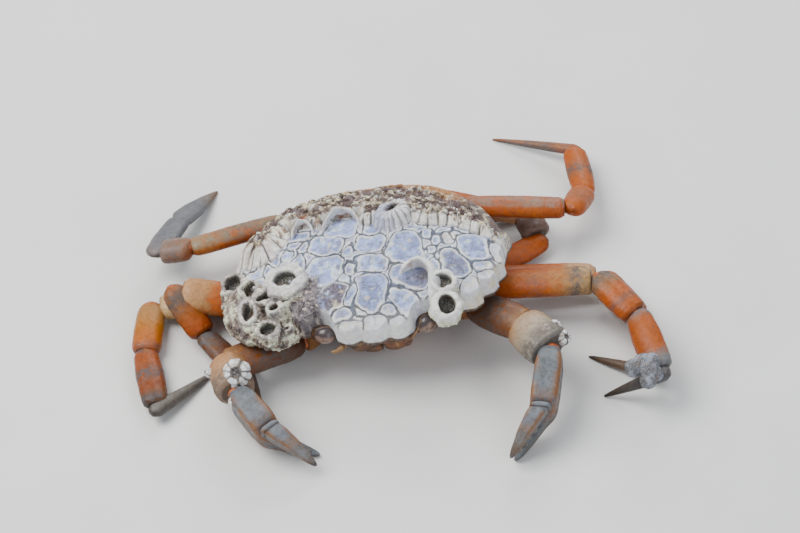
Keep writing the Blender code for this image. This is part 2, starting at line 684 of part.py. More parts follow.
def walking_specs(name: str) -> list:
    """Shapes and finishes of the five segments of a walking leg."""
    pair = WALKING_LEGS[name][0]
    points = leg_joints(name)
    normals = bend_normals(points)
    profiles = (HIP, MERUS, CARPUS, PROPODUS, BLADE if pair == 5 else DACTYL)
    slots = ("shell_brown", "leg_orange", "leg_orange", "leg_orange", "leg_tip")
    specs = []
    for index, part in enumerate(PARTS):
        start = points[index]
        end = points[index + 1]
        axis = (end - start).normalized()
        wide, deep = WALKING_SIZES[pair][index]
        back = 0.6 if index else 0.0
        if index + 2 < len(points):
            onward = (points[index + 2] - end).normalized()
            bend = math.sin(axis.angle(onward)) if axis.angle(onward) < math.pi / 2 else 1.0
            end = end - axis * 0.32 * WALKING_SIZES[pair][index + 1][0] * bend
        start = start - axis * back

        outline = (start, end, normals[index], wide, deep, profiles[index])

        def shape(grow: float, outline=outline, last=index == 4) -> bmesh.types.BMesh:
            bm = limb_mesh(*outline, grow=grow)
            if last:
                flatten_below(bm, 0.0)
            return bm

        specs.append((part, shape, slots[index]))
    return specs


def claw_specs(name: str) -> list:
    """Shapes and finishes of the five segments of a claw-bearing limb."""
    root, shoulder, elbow, wrist, knuckle, thumb_tip, finger_tip = (Vector(p) for p in CLAW_JOINTS[name])
    normals = bend_normals([root, shoulder, elbow, wrist, knuckle])
    palm_axis = (knuckle - wrist).normalized()
    plane_up = Vector((0.0, -0.25, 1.0))
    plane_up = (plane_up - palm_axis * plane_up.dot(palm_axis)).normalized()
    side = palm_axis.cross(plane_up).normalized()

    def hip(grow: float):
        return limb_mesh(root, shoulder, normals[0], 6.2, 5.8, HIP, grow=grow)

    def merus(grow: float):
        away = (elbow - shoulder).normalized()
        return limb_mesh(shoulder - away * 0.6, elbow, normals[1], 8.4, 6.4, MERUS, grow=grow)

    def carpus(grow: float):
        away = (wrist - elbow).normalized()
        return limb_mesh(elbow - away * 1.8, wrist - away * 0.3, normals[2], 9.0, 8.2, CARPUS, grow=grow)

    def hand(grow: float):
        rows = [
            (wrist - palm_axis * 0.8, 3.4, 3.4, 0.0), (wrist + palm_axis * 0.8, 6.4, 5.0, 0.0),
            (wrist.lerp(knuckle, 0.3), 9.6, 6.4, 0.0), (wrist.lerp(knuckle, 0.75), 10.4, 6.6, 0.0),
            (knuckle - palm_axis * 0.4, 9.6, 6.2, 0.0), (knuckle + palm_axis * 0.1, 4.9, 5.2, -2.3),
        ]
        rings = []
        start = knuckle - plane_up * 2.3
        for share, wide, deep in ((0.25, 4.6, 4.2), (0.55, 3.6, 3.2), (0.85, 2.2, 2.0), (1.0, 1.0, 0.9)):
            spot = start.lerp(finger_tip, share) - plane_up * 0.9 * math.sin(math.pi * share)
            rows.append((spot, wide, deep, 0.0))
        for index, (spot, wide, deep, shift) in enumerate(rows):
            push = -grow if index == 0 else grow if index == len(rows) - 1 else 0.0
            middle = spot + plane_up * shift + palm_axis * push
            ring = []
            for i in range(LIMB_SIDES):
                angle = 2.0 * math.pi * (i + 0.5) / LIMB_SIDES
                u = plane_up * math.cos(angle) * (wide / 2.0 + grow)
                v = side * math.sin(angle) * (deep / 2.0 + grow)
                ring.append(middle + u + v)
            rings.append(ring)
        bm = loft(rings)
        flatten_below(bm, 0.0)
        return bm

    def finger(grow: float):
        start = knuckle + plane_up * 2.4 - palm_axis * 0.6
        rings = []
        rows = (
            (0.0, 3.0, 3.2), (0.1, 4.6, 4.6), (0.3, 4.4, 4.2), (0.6, 3.5, 3.2), (0.87, 2.2, 2.0), (1.0, 0.9, 0.9),
        )
        for share, wide, deep in rows:
            spot = start.lerp(thumb_tip, share) + plane_up * 1.1 * math.sin(math.pi * share)
            ring = []
            for i in range(LIMB_SIDES):
                angle = 2.0 * math.pi * (i + 0.5) / LIMB_SIDES
                u = plane_up * math.cos(angle) * (wide / 2.0 + grow)
                v = side * math.sin(angle) * (deep / 2.0 + grow)
                ring.append(spot + u + v)
            rings.append(ring)
        return loft(rings)

    return [
        ("hip", hip, "shell_brown"), ("merus", merus, "leg_orange"), ("carpus", carpus, "belly_cream"),
        ("propodus", hand, "claw_grey"), ("dactyl", finger, "claw_grey"),
    ]


def build_head(side: str, sign: float) -> None:
    """Eye, feeler and mouth plate of one side of the head."""
    place = body_matrix()
    eye = bmesh.new()
    bmesh.ops.create_icosphere(eye, subdivisions=2, radius=EYE_RADIUS)
    for v in eye.verts:
        v.co = v.co * Vector((1.25, 0.95, 1.0)) + EYE_PLACE * Vector((sign, 1.0, 1.0))
    eye_object = make_object(f"eye_{side}", eye, "eye_dark", place)
    combine(eye_object, [make_object("cutter", head_cutter(), "shell_brown", place)], "DIFFERENCE")

    run = FEELER_RUNS[side]
    rings = []
    for index, (x, y, z, thick) in enumerate(run):
        before = Vector(run[max(0, index - 1)][:3])
        after = Vector(run[min(len(run) - 1, index + 1)][:3])
        across, thin = basis((after - before).normalized(), Vector((0.0, 0.0, 1.0)))
        ring = []
        for i in range(6):
            angle = 2.0 * math.pi * i / 6
            spot = Vector((x, y, z)) + (across * math.cos(angle) + thin * math.sin(angle)) * thick / 2.0
            ring.append(Vector((spot.x * sign, spot.y, spot.z)))
        rings.append(ring)
    feeler = make_object(f"antenna_{side}", loft(rings), "belly_cream", place)
    combine(feeler, [make_object("cutter", head_cutter(), "shell_brown", place)], "DIFFERENCE")

    rings = []
    for z, inner, outer, y in MOUTH_LEVELS:
        ring = []
        for x, depth in ((inner, 0.0), ((inner + outer) / 2.0, 0.35), (outer, 0.0), (outer, 4.0), (inner, 4.0)):
            ring.append(Vector((sign * x, y - depth if depth < 1.0 else y + depth, z)))
        rings.append(ring)
    plate = make_object(f"mouth_plate_{side}", loft(rings), "belly_cream", place)
    combine(plate, [make_object("cutter", thorax_mesh(GAP), "shell_brown", place)], "DIFFERENCE")


def head_cutter() -> bmesh.types.BMesh:
    """Block of the front of the body and shell, grown by the gap, that trims what grows from it."""
    bm = thorax_mesh(GAP)
    top = shell_edge_block(1.7 * GAP)
    mesh = bpy.data.meshes.new("edge")
    top.to_mesh(mesh)
    top.free()
    bm.from_mesh(mesh)
    bpy.data.meshes.remove(mesh)
    return bm


def shell_edge_block(grow: float) -> bmesh.types.BMesh:
    """Plain slab with the outline of the shell, grown by the gap."""
    front = rim_height(-HALF_LENGTH)
    levels = ((UNDERSIDE - grow, 0.93), (front - SHELL_EDGE, 1.0), (front + 1.5, 1.0), (22.0, 0.8))
    wide = 1.0 + grow / HALF_WIDTH
    long = 1.0 + grow / HALF_LENGTH
    rings = []
    for z, share in levels:
        rings.append([Vector((p.x * share * wide, p.y * share * long, z)) for p in margin()])
    return loft(rings)


def main() -> None:
    """Build every named piece of the crab."""
    clear_scene()
    build_carapace()
    build_body_undersides()
    for side, sign in (("left", 1.0), ("right", -1.0)):
        build_head(side, sign)
    for name in WALKING_LEGS:
        build_limb(name, walking_specs(name))
    for name in CLAW_JOINTS:
        build_limb(name, claw_specs(name))


main()
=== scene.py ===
"""Looks of a still, life-size green shore crab whose back is covered with barnacle scars.

Sizes are in millimetres and degrees. The shell and the head are laid out in the body's own frame,
which leans a few degrees as the crab stands, and the legs and claws in the frame of the floor.
"""

import logging
import math
import random
from dataclasses import dataclass, field
from enum import Enum
from typing import Callable, ClassVar, Optional, Union

import bmesh
import bpy
import numpy as np
from mathutils import Matrix, Vector


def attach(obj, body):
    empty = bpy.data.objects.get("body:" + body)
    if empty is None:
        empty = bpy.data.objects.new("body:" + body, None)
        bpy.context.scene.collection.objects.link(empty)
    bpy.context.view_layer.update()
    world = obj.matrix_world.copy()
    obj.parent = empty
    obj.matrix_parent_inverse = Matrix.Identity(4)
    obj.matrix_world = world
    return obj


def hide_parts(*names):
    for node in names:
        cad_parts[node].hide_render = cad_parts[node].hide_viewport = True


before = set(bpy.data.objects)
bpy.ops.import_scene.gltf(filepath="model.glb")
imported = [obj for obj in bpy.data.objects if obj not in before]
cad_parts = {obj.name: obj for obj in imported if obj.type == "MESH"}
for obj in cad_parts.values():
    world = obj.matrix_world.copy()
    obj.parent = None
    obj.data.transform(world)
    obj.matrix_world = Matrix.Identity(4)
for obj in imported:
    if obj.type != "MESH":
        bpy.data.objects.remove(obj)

log = logging.getLogger("crab")

Colour = tuple[float, float, float]
Socket = bpy.types.NodeSocket

MM = 0.001
SHIFT = Vector((-1.99, -3.11, 0.0))
BODY_LIFT = Vector((0.0, 0.0, 1.2))
BODY_PLACE = Matrix.Translation(SHIFT + BODY_LIFT) @ Matrix.Rotation(math.radians(-6.0), 4, "Y")
FLOOR_PLACE = Matrix.Translation(SHIFT)
LIGHT = 1.96
SCATTER = np.array([73856093, 19349663, 83492791])
SCREEN_MIX = np.array([[0.6257, 0.3092, 0.0651], [0.1033, 0.8566, 0.0401], [0.0941, 0.2011, 0.7048]])
SURFACE_MIX = np.array([[1.8045, -0.7011, -0.1034], [-0.2434, 1.4517, -0.2083], [-0.165, -0.2892, 1.4542]])


def seen(red: int, green: int, blue: int) -> Colour:
    """Base colour that shows a wanted screen colour on a level surface in the studio's light.

    The display pales strong colours and flattens bright tones, and this works back through both.

    Args:
        red: Red from 0 to 255.
        green: Green from 0 to 255.
        blue: Blue from 0 to 255.

    Returns:
        The linear base colour.
    """
    screen = np.array([red, green, blue]) / 255.0
    level = np.where(screen <= 0.04045, screen / 12.92, ((screen + 0.055) / 1.055) ** 2.4)
    mixed = np.clip(SCREEN_MIX @ level, 0.0, 0.66)
    light = 0.8 * mixed**0.88 * np.exp(3.0 * mixed**2.4)
    base = np.clip(SURFACE_MIX @ light / LIGHT, 0.004, 0.93)
    return float(base[0]), float(base[1]), float(base[2])


class Slot(Enum):
    """Material slots of the record."""

    SCARRED = "shell_scarred"
    BROWN = "shell_brown"
    CREAM = "belly_cream"
    ORANGE = "leg_orange"
    TIP = "leg_tip"
    GREY = "claw_grey"
    EYE = "eye_dark"


# Patterns in numbers


def smooth_step(low: float, high: float, value: np.ndarray) -> np.ndarray:
    """Share from 0 to 1 between two values, with soft ends."""
    share = np.clip((value - low) / (high - low), 0.0, 1.0)
    return share * share * (3.0 - 2.0 * share)


def bell(value: np.ndarray, centre: float, width: float) -> np.ndarray:
    """Soft bump of height 1 round a centre."""
    return np.exp(-(((value - centre) / width) ** 2))


def blend(first: Union[np.ndarray, Colour], second: Union[np.ndarray, Colour], share: np.ndarray) -> np.ndarray:
    """Mix two colours, or rows of colours, by a share for each point."""
    part = np.clip(share, 0.0, 1.0)[:, None]
    return np.asarray(first) * (1.0 - part) + np.asarray(second) * part


def warped(points: np.ndarray, size: float, seed: int) -> np.ndarray:
    """Noise in three directions, one row for each place."""
    return np.stack([lumps(points, size, seed + axis) for axis in range(3)], axis=1)


def closed_ends(share: np.ndarray, power: int) -> np.ndarray:
    """Part of its full width that a tube keeps, which closes softly at both ends."""
    return np.sqrt(np.clip(1.0 - (np.abs(share - 0.5) * 2.0) ** power, 0.02, 1.0))


def lumps(points: np.ndarray, size: float, seed: int = 0) -> np.ndarray:
    """Smooth noise from -1 to 1.

    Args:
        points: Places, one row each.
        size: Width of a lump in millimetres.
        seed: Choice among different patterns.

    Returns:
        One value for each place.
    """
    spots = points / size + 31.7 * (seed + 1)
    cells = np.floor(spots).astype(np.int64)
    inside = spots - cells
    ease = inside * inside * (3.0 - 2.0 * inside)
    total = np.zeros(len(points))
    for corner in range(8):
        step = np.array([corner & 1, (corner >> 1) & 1, (corner >> 2) & 1])
        key = (cells + step) @ SCATTER + seed * 2654435
        key = ((key ^ (key >> 13)) & 0x7FFFFFFF) * 1274126177 & 0x7FFFFFFF
        share = np.prod(np.where(step == 1, ease, 1.0 - ease), axis=1)
        total += share * ((key >> 8) % 4096) / 2048.0
    return total - 1.0


def layered(points: np.ndarray, size: float, layers: int = 3, seed: int = 0) -> np.ndarray:
    """Noise of several sizes on top of each other, from about -1 to 1.

    Args:
        points: Places, one row each.
        size: Width of the largest lumps in millimetres.
        layers: Number of sizes, each half the last.
        seed: Choice among different patterns.

    Returns:
        One value for each place.
    """
    total = np.zeros(len(points))
    strength = 0.55
    for layer in range(layers):
        total += strength * lumps(points, size * 0.5**layer, seed + 17 * layer)
        strength *= 0.55
    return total


# Shader tools


class Groups:
    """Shader groups that several finishes share, each made once."""

    made: dict = {}

    @classmethod
    def start(cls, name: str, inputs: dict, output: str) -> tuple:
        """Open a new group with number inputs, a vector input and one output.

        Args:
            name: Name of the group.
            inputs: Names and preset values of its number inputs.
            output: Name of its number output.

        Returns:
            The group, its input node and its output node.
        """
        group = bpy.data.node_groups.new(name, "ShaderNodeTree")
        group.interface.new_socket("Vector", in_out="INPUT", socket_type="NodeSocketVector")
        for key, value in inputs.items():
            socket = group.interface.new_socket(key, in_out="INPUT", socket_type="NodeSocketFloat")
            socket.default_value = value
        group.interface.new_socket(output, in_out="OUTPUT", socket_type="NodeSocketFloat")
        cls.made[name] = group
        return group, group.nodes.new("NodeGroupInput"), group.nodes.new("NodeGroupOutput")

    @classmethod
    def patches(cls) -> bpy.types.NodeTree:
        """Soft-edged patches: a mask from 0 to 1.

        Returns:
            The group.
        """
        if "patches" in cls.made:
            return cls.made["patches"]
        group, source, target = cls.start("patches", {"Scale": 1.0, "Low": 0.4, "High": 0.6}, "Mask")
        noise = group.nodes.new("ShaderNodeTexNoise")
        noise.inputs["Detail"].default_value = 4.0
        noise.inputs["Roughness"].default_value = 0.62
        spread = group.nodes.new("ShaderNodeMapRange")
        spread.interpolation_type = "SMOOTHSTEP"
        group.links.new(source.outputs["Vector"], noise.inputs["Vector"])
        group.links.new(source.outputs["Scale"], noise.inputs["Scale"])
        group.links.new(noise.outputs["Fac"], spread.inputs["Value"])
        group.links.new(source.outputs["Low"], spread.inputs["From Min"])
        group.links.new(source.outputs["High"], spread.inputs["From Max"])
        group.links.new(spread.outputs["Result"], target.inputs["Mask"])
        return group

    @classmethod
    def relief(cls) -> bpy.types.NodeTree:
        """Fine relief: grains with small pits between them.

        Returns:
            The group.
        """
        if "relief" in cls.made:
            return cls.made["relief"]
        group, source, target = cls.start("relief", {"Grain": 3.0, "Pits": 2.0, "Pit Depth": 0.5}, "Height")
        noise = group.nodes.new("ShaderNodeTexNoise")
        noise.inputs["Detail"].default_value = 5.0
        pits = group.nodes.new("ShaderNodeTexVoronoi")
        deep = group.nodes.new("ShaderNodeMath")
        deep.operation = "MULTIPLY"
        total = group.nodes.new("ShaderNodeMath")
        total.operation = "ADD"
        for node in (noise, pits):
            group.links.new(source.outputs["Vector"], node.inputs["Vector"])
        group.links.new(source.outputs["Grain"], noise.inputs["Scale"])
        group.links.new(source.outputs["Pits"], pits.inputs["Scale"])
        group.links.new(pits.outputs["Distance"], deep.inputs[0])
        group.links.new(source.outputs["Pit Depth"], deep.inputs[1])
        group.links.new(noise.outputs["Fac"], total.inputs[0])
        group.links.new(deep.outputs[0], total.inputs[1])
        group.links.new(total.outputs[0], target.inputs["Height"])
        return group


class Graph:
    """Node tree of one material, built step by step."""

    def __init__(self, name: str, roughness: float, specular: float = 0.5) -> None:
        """Start the tree with its shader.

        Args:
            name: Name of the material.
            roughness: Roughness while nothing else feeds it.
            specular: Strength of the plain reflections.
        """
        self.material = bpy.data.materials.new(name)
        self.material.use_nodes = True
        self.tree = self.material.node_tree
        self.shader = self.tree.nodes["Principled BSDF"]
        self.shader.inputs["Roughness"].default_value = roughness
        self.shader.inputs["Specular IOR Level"].default_value = specular
        self.column = -1400

    def node(self, kind: str, inputs: dict, **settings: object) -> bpy.types.Node:
        """Add a node.

        Args:
            kind: Blender's name of the node type.
            inputs: Values or sockets by input name or number.
            **settings: Properties of the node.

        Returns:
            The new node.
        """
        made = self.tree.nodes.new(kind)
        made.location = (self.column, -200)
        self.column += 40
        for key, value in settings.items():
            setattr(made, key, value)
        for key, value in inputs.items():
            target = made.inputs[key]
            if isinstance(value, Socket):
                self.tree.links.new(value, target)
            elif target.type == "RGBA":
                target.default_value = (*value, 1.0)
            else:
                target.default_value = value
        return made

    def place(self) -> Socket:
        """Object coordinates in millimetres.

        Returns:
            The scaled coordinates.
        """
        source = self.node("ShaderNodeTexCoord", {})
        scaled = self.node("ShaderNodeMapping", {"Vector": source.outputs["Object"], "Scale": (1000.0,) * 3})
        return scaled.outputs["Vector"]

    def mask(self, name: str) -> Socket:
        """Number stored on the mesh under a name."""
        return self.node("ShaderNodeAttribute", {}, attribute_name=name).outputs["Fac"]

    def tint(self) -> Socket:
        """Colour stored on the mesh."""
        return self.node("ShaderNodeAttribute", {}, attribute_name="tint").outputs["Color"]

    def patches(self, place: Socket, scale: float, low: float, high: float) -> Socket:
        """Mask of soft patches."""
        inputs = {"Vector": place, "Scale": scale, "Low": low, "High": high}
        return self.node("ShaderNodeGroup", inputs, node_tree=Groups.patches()).outputs["Mask"]

    def some(self, place: Socket, scale: float, low: float, high: float, share: float) -> Socket:
        """Mask of soft patches, weakened to a share."""
        return self.times(self.patches(place, scale, low, high), share)

    def wobble(self, place: Socket, scale: float, amount: float) -> Socket:
        """Soft waves round zero."""
        return self.times(self.maths("SUBTRACT", self.patches(place, scale, 0.2, 0.8), 0.5), amount)

    def relief(self, place: Socket, grain: float, pits: float, depth: float) -> Socket:
        """Height of grains and pits."""
        inputs = {"Vector": place, "Grain": grain, "Pits": pits, "Pit Depth": depth}
        return self.node("ShaderNodeGroup", inputs, node_tree=Groups.relief()).outputs["Height"]

    def maths(self, operation: str, first: Union[Socket, float], second: Union[Socket, float] = 0.0) -> Socket:
        """One step of arithmetic."""
        return self.node("ShaderNodeMath", {0: first, 1: second}, operation=operation).outputs[0]

    def times(self, first: Union[Socket, float], second: Union[Socket, float]) -> Socket:
        """Product of two values."""
        return self.maths("MULTIPLY", first, second)

    def mix(self, share: Union[Socket, float], first: Union[Socket, Colour], second: Union[Socket, Colour],
            way: str = "MIX") -> Socket:
        """Mix two colours."""
        made = self.node("ShaderNodeMix", {0: share, 6: first, 7: second}, data_type="RGBA", blend_type=way)
        return made.outputs[2]

    def ramp(self, share: Socket, stops: tuple) -> Socket:
        """Row of colours along a share from 0 to 1.

        Args:
            share: Place along the row.
            stops: Place and colour of each stop.

        Returns:
            The colour.
        """
        made = self.node("ShaderNodeValToRGB", {"Fac": share})
        elements = made.color_ramp.elements
        while len(elements) < len(stops):
            elements.new(0.5)
        for element, (spot, colour) in zip(elements, stops):
            element.position = spot
            element.color = (*colour, 1.0)
        return made.outputs["Color"]

    def span(self, value: Socket, low: float, high: float) -> Socket:
        """Turn a share from 0 to 1 into a range of values."""
        made = self.node("ShaderNodeMapRange", {"Value": value, "To Min": low, "To Max": high})
        return made.outputs["Result"]

    def finish(self, colour: Socket, roughness: Socket, height: Socket, depth: float) -> bpy.types.Material:
        """Feed the shader.

        Args:
            colour: Base colour.
            roughness: Roughness over the surface.
            height: Relief from 0 to about 1.
            depth: Depth of the relief in millimetres.

        Returns:
            The material.
        """
        bump = self.node("ShaderNodeBump", {"Height": height, "Distance": depth * MM, "Strength": 1.0})
        self.tree.links.new(colour, self.shader.inputs["Base Color"])
        self.tree.links.new(roughness, self.shader.inputs["Roughness"])
        self.tree.links.new(bump.outputs["Normal"], self.shader.inputs["Normal"])
        return self.material


# Finishes


def damp(red: int, green: int, blue: int) -> Colour:
    """Base colour of a curved, damp shell, whose sheen pales and lifts the wanted screen colour.

    Args:
        red: Red from 0 to 255.
        green: Green from 0 to 255.
        blue: Blue from 0 to 255.

    Returns:
        The linear base colour.
    """
    strong = (1.0 - min(red, green, blue) / max(red, green, blue)) ** 3
    shares = (0.88 + 0.04 * strong, 0.87 + 0.18 * strong, 0.86 - 0.7 * strong)
    return seen(*(int(value * share) for value, share in zip((red, green, blue), shares)))


def greys(*stops: tuple) -> tuple:
    """Stops of a ramp between greys, from their places and levels."""
    return tuple((spot, (level, level, level)) for spot, level in stops)


class Finish:
    """A finish that builds its own material under its own name."""

    name: str

    def material(self) -> bpy.types.Material:
        """Build the material."""
        raise NotImplementedError(self.name)


@dataclass(frozen=True)
class ScarFinish(Finish):
    """Chalky barnacle plates and crust, coloured from the mesh and broken up finely.

    The distance from the groove round each plate is stored on the mesh, and the raised white rims and
    the dark grooves are drawn from it.
    """

    name: str = "barnacle_scars"
    shade: Colour = (0.47, 0.44, 0.48)
    speck: Colour = seen(96, 80, 72)
    white: Colour = seen(242, 242, 242)
    chalk: Colour = seen(218, 218, 220)
    groove: Colour = seen(84, 80, 84)
    rough: float = 0.72
    dark_line: tuple = greys((0.0, 1.0), (0.02, 0.95), (0.04, 0.3), (0.06, 0.0))
    pale_line: tuple = greys((0.03, 0.0), (0.06, 1.0), (0.11, 0.95), (0.16, 0.3), (0.24, 0.0))
    profile: tuple = greys((0.0, 0.0), (0.02, 0.1), (0.06, 0.95), (0.1, 1.0), (0.15, 0.5), (0.24, 0.36), (1.0, 0.34))

    def material(self) -> bpy.types.Material:
        """Build the material.

        Returns:
            The finished material.
        """
        graph = Graph(self.name, self.rough, 0.35)
        place = graph.place()
        plate = graph.mask("plate")
        wobble = graph.wobble(place, 1.3, 0.05)
        gap = graph.maths("ADD", graph.mask("gap"), wobble)
        colour = graph.mix(graph.some(place, 1.0, 0.42, 0.62, 0.34),
                           graph.tint(), self.shade, "MULTIPLY")
        colour = graph.mix(graph.some(place, 4.2, 0.5, 0.64, 0.28), colour, self.chalk)
        faint = graph.span(graph.patches(place, 0.5, 0.35, 0.6), 0.6, 1.0)
        rims = graph.times(graph.times(plate, graph.ramp(gap, self.pale_line)), faint)
        colour = graph.mix(rims, colour, self.white)
        cuts = graph.times(graph.times(plate, graph.ramp(gap, self.dark_line)), 0.75)
        colour = graph.mix(cuts, colour, self.groove)
        gritty = graph.times(graph.patches(place, 3.4, 0.5, 0.6), graph.mask("grit"))
        colour = graph.mix(gritty, colour, self.speck)
        colour = graph.mix(graph.some(place, 9.0, 0.55, 0.7, 0.3),
                           colour, (0.3, 0.28, 0.3), "MULTIPLY")
        rough = graph.span(graph.patches(place, 2.0, 0.35, 0.65), 0.55, 0.85)
        lines = graph.times(plate, graph.ramp(gap, self.profile))
        height = graph.maths("ADD", graph.relief(place, 4.5, 3.2, 0.5), graph.times(lines, 1.5))
        return graph.finish(colour, rough, height, 0.17)


@dataclass(frozen=True)
class LimbFinish(Finish):
    """Smooth, damp shell of a limb, with colour bands along it, a paler painted sheen on its upward-facing side and
    stains.
    """

    name: str
    stops: tuple
    # Paler colour laid on the upward-facing side: painted sheen of the light from above.
    top: Colour = damp(222, 190, 150)
    sheen_share: float = 0.4
    stain: Colour = damp(122, 112, 108)
    ridge: Colour = damp(208, 122, 64)
    speck: Colour = damp(96, 56, 38)
    pale: Colour = damp(226, 190, 150)
    mottle: Colour = (0.52, 0.42, 0.34)
    seam: Colour = seen(62, 40, 30)
    rough: float = 0.4
    relief: float = 0.07
    sheen_from: float = 0.45
    sheen_to: float = 0.95

    def material(self) -> bpy.types.Material:
        """Build the material.

        Returns:
            The finished material.
        """
        graph = Graph(self.name, self.rough, 0.22)
        place = graph.place()
        wobble = graph.wobble(place, 0.35, 0.16)
        colour = graph.ramp(graph.maths("ADD", graph.mask("along"), wobble), self.stops)
        # The share facing up, broken into patches, takes the top colour: painted sheen.
        sheen_facing = graph.ramp(graph.mask("sheen_facing"), greys((self.sheen_from, 0.0), (self.sheen_to, 1.0)))
        top = graph.times(sheen_facing, graph.span(graph.patches(place, 0.4, 0.35, 0.62), 0.25, 1.0))
        colour = graph.mix(graph.times(top, self.sheen_share**1.7), colour, self.top)
        colour = graph.mix(graph.mask("ridge"), colour, self.ridge)
        colour = graph.mix(graph.some(place, 1.1, 0.46, 0.64, 0.42), colour,
                           (0.52, 0.42, 0.34), "MULTIPLY")
        stained = graph.times(graph.mask("stain"), graph.patches(place, 0.8, 0.36, 0.54))
        colour = graph.mix(stained, colour, self.stain)
        specks = graph.some(place, 2.7, 0.6, 0.68, 0.75)
        colour = graph.mix(specks, colour, self.speck)
        dots = graph.some(place, 2.2, 0.62, 0.72, 0.12)
        colour = graph.mix(dots, colour, self.pale)
        colour = graph.mix(graph.mask("seam"), colour, self.seam)
        rough = graph.span(graph.patches(place, 0.8, 0.3, 0.7), self.rough - 0.12, self.rough + 0.16)
        return graph.finish(colour, rough, graph.relief(place, 1.9, 2.4, 0.4), self.relief)


@dataclass(frozen=True)
class PlainShellFinish(Finish):
    """Shell of one main colour with mottles of a second one."""

    name: str
    base: Colour
    mottle: Colour
    scale: float = 0.5
    rough: float = 0.45
    relief: float = 0.08

    def material(self) -> bpy.types.Material:
        """Build the material.

        Returns:
            The finished material.
        """
        graph = Graph(self.name, self.rough)
        place = graph.place()
        colour = graph.mix(graph.patches(place, self.scale, 0.4, 0.62), self.base, self.mottle)
        colour = graph.mix(graph.some(place, 2.8, 0.55, 0.68, 0.5), colour,
                           (0.3, 0.2, 0.16), "MULTIPLY")
        rough = graph.span(graph.patches(place, 1.1, 0.3, 0.7), self.rough - 0.12, self.rough + 0.15)
        return graph.finish(colour, rough, graph.relief(place, 2.4, 1.8, 0.4), self.relief)


@dataclass(frozen=True)
class EyeFinish(Finish):
    """Glossy eye, dark where it looks forward and mottled towards its stalk."""

    name: str = "eye_shell"
    dark: Colour = seen(92, 82, 84)
    stalk: Colour = seen(168, 142, 126)
    cloud: Colour = seen(68, 56, 52)

    def material(self) -> bpy.types.Material:
        """Build the material.

        Returns:
            The finished material.
        """
        graph = Graph(self.name, 0.3, 0.4)
        graph.shader.inputs["Coat Weight"].default_value = 0.3
        graph.shader.inputs["Coat Roughness"].default_value = 0.12
        place = graph.place()
        colour = graph.mix(graph.mask("stalk"), self.dark, self.stalk)
        colour = graph.mix(graph.some(place, 1.2, 0.46, 0.62, 0.7), colour, self.cloud)
        rough = graph.span(graph.mask("stalk"), 0.24, 0.36)
        return graph.finish(colour, rough, graph.relief(place, 5.0, 6.0, 0.3), 0.04)


@dataclass(frozen=True)
class FloorFinish(Finish):
    """Plain pale floor with a hardly visible grain."""

    name: str = "pale_floor"
    base: Colour = (0.74, 0.74, 0.73)

    def material(self) -> bpy.types.Material:
        """Build the material.

        Returns:
            The finished material.
        """
        graph = Graph(self.name, 0.6, 0.3)
        place = graph.place()
        colour = graph.mix(graph.patches(place, 0.02, 0.3, 0.7), self.base, (0.70, 0.70, 0.69))
        rough = graph.span(graph.patches(place, 0.1, 0.3, 0.7), 0.55, 0.7)
        return graph.finish(colour, rough, graph.patches(place, 0.5, 0.3, 0.7), 0.02)


TEETH = PlainShellFinish("claw_teeth", seen(150, 146, 140), seen(116, 108, 102), 1.0, 0.4)
FEELER = PlainShellFinish("feeler_shell", seen(176, 140, 92), seen(120, 84, 56), 0.9)


class Finishes:
    """Materials by name, each built on its first use."""

    made: dict = {}

    @classmethod
    def get(cls, finish: Finish) -> bpy.types.Material:
        """Find the material of a finish.

        Args:
            finish: The finish.

        Returns:
            Its material.
        """
        if finish.name not in cls.made:
            cls.made[finish.name] = finish.material()
        return cls.made[finish.name]


# Meshes


def spots_of(bm: bmesh.types.BMesh) -> np.ndarray:
    """Places of all vertices, one row each."""
    return np.array([v.co[:] for v in bm.verts])


def move_to(bm: bmesh.types.BMesh, spots: np.ndarray) -> None:
    """Move every vertex to its row."""
    for vertex, spot in zip(bm.verts, spots):
        vertex.co = spot


def tube(sides: int, rings: int) -> tuple[bmesh.types.BMesh, np.ndarray, np.ndarray]:
    """Closed tube to be shaped.

    Args:
        sides: Number of sides.
        rings: Number of rings along it.

    Returns:
        The mesh, the share along the tube and the angle round it of every vertex.
    """
    bm = bmesh.new()
    bmesh.ops.create_cone(bm, cap_ends=True, cap_tris=False, segments=sides, radius1=1.0, radius2=1.0, depth=1.0)
    long_edges = [edge for edge in bm.edges if abs(edge.verts[0].co.z - edge.verts[1].co.z) > 0.5]
    bmesh.ops.subdivide_edges(bm, edges=long_edges, cuts=rings - 2, use_grid_fill=True)
    spots = spots_of(bm)
    return bm, spots[:, 2] + 0.5, np.arctan2(spots[:, 1], spots[:, 0])


def along_rows(rows: list, share: np.ndarray, column: int, ease: float = 0.022) -> np.ndarray:
    """Read one column of a profile along a share, with its corners rounded.

    Args:
        rows: Profile, each row starting with its share.
        share: Shares from 0 to 1.
        column: Column to read.
        ease: Reach of the rounding.

    Returns:
        The values.
    """
    xs = [row[0] for row in rows]
    ys = [row[column] for row in rows]
    total = np.zeros(len(share))
    for step, weight in ((-1.0, 0.25), (-0.5, 0.25), (0.5, 0.25), (1.0, 0.25)):
        total += weight * np.interp(np.clip(share + step * ease, 0.0, 1.0), xs, ys)
    return total


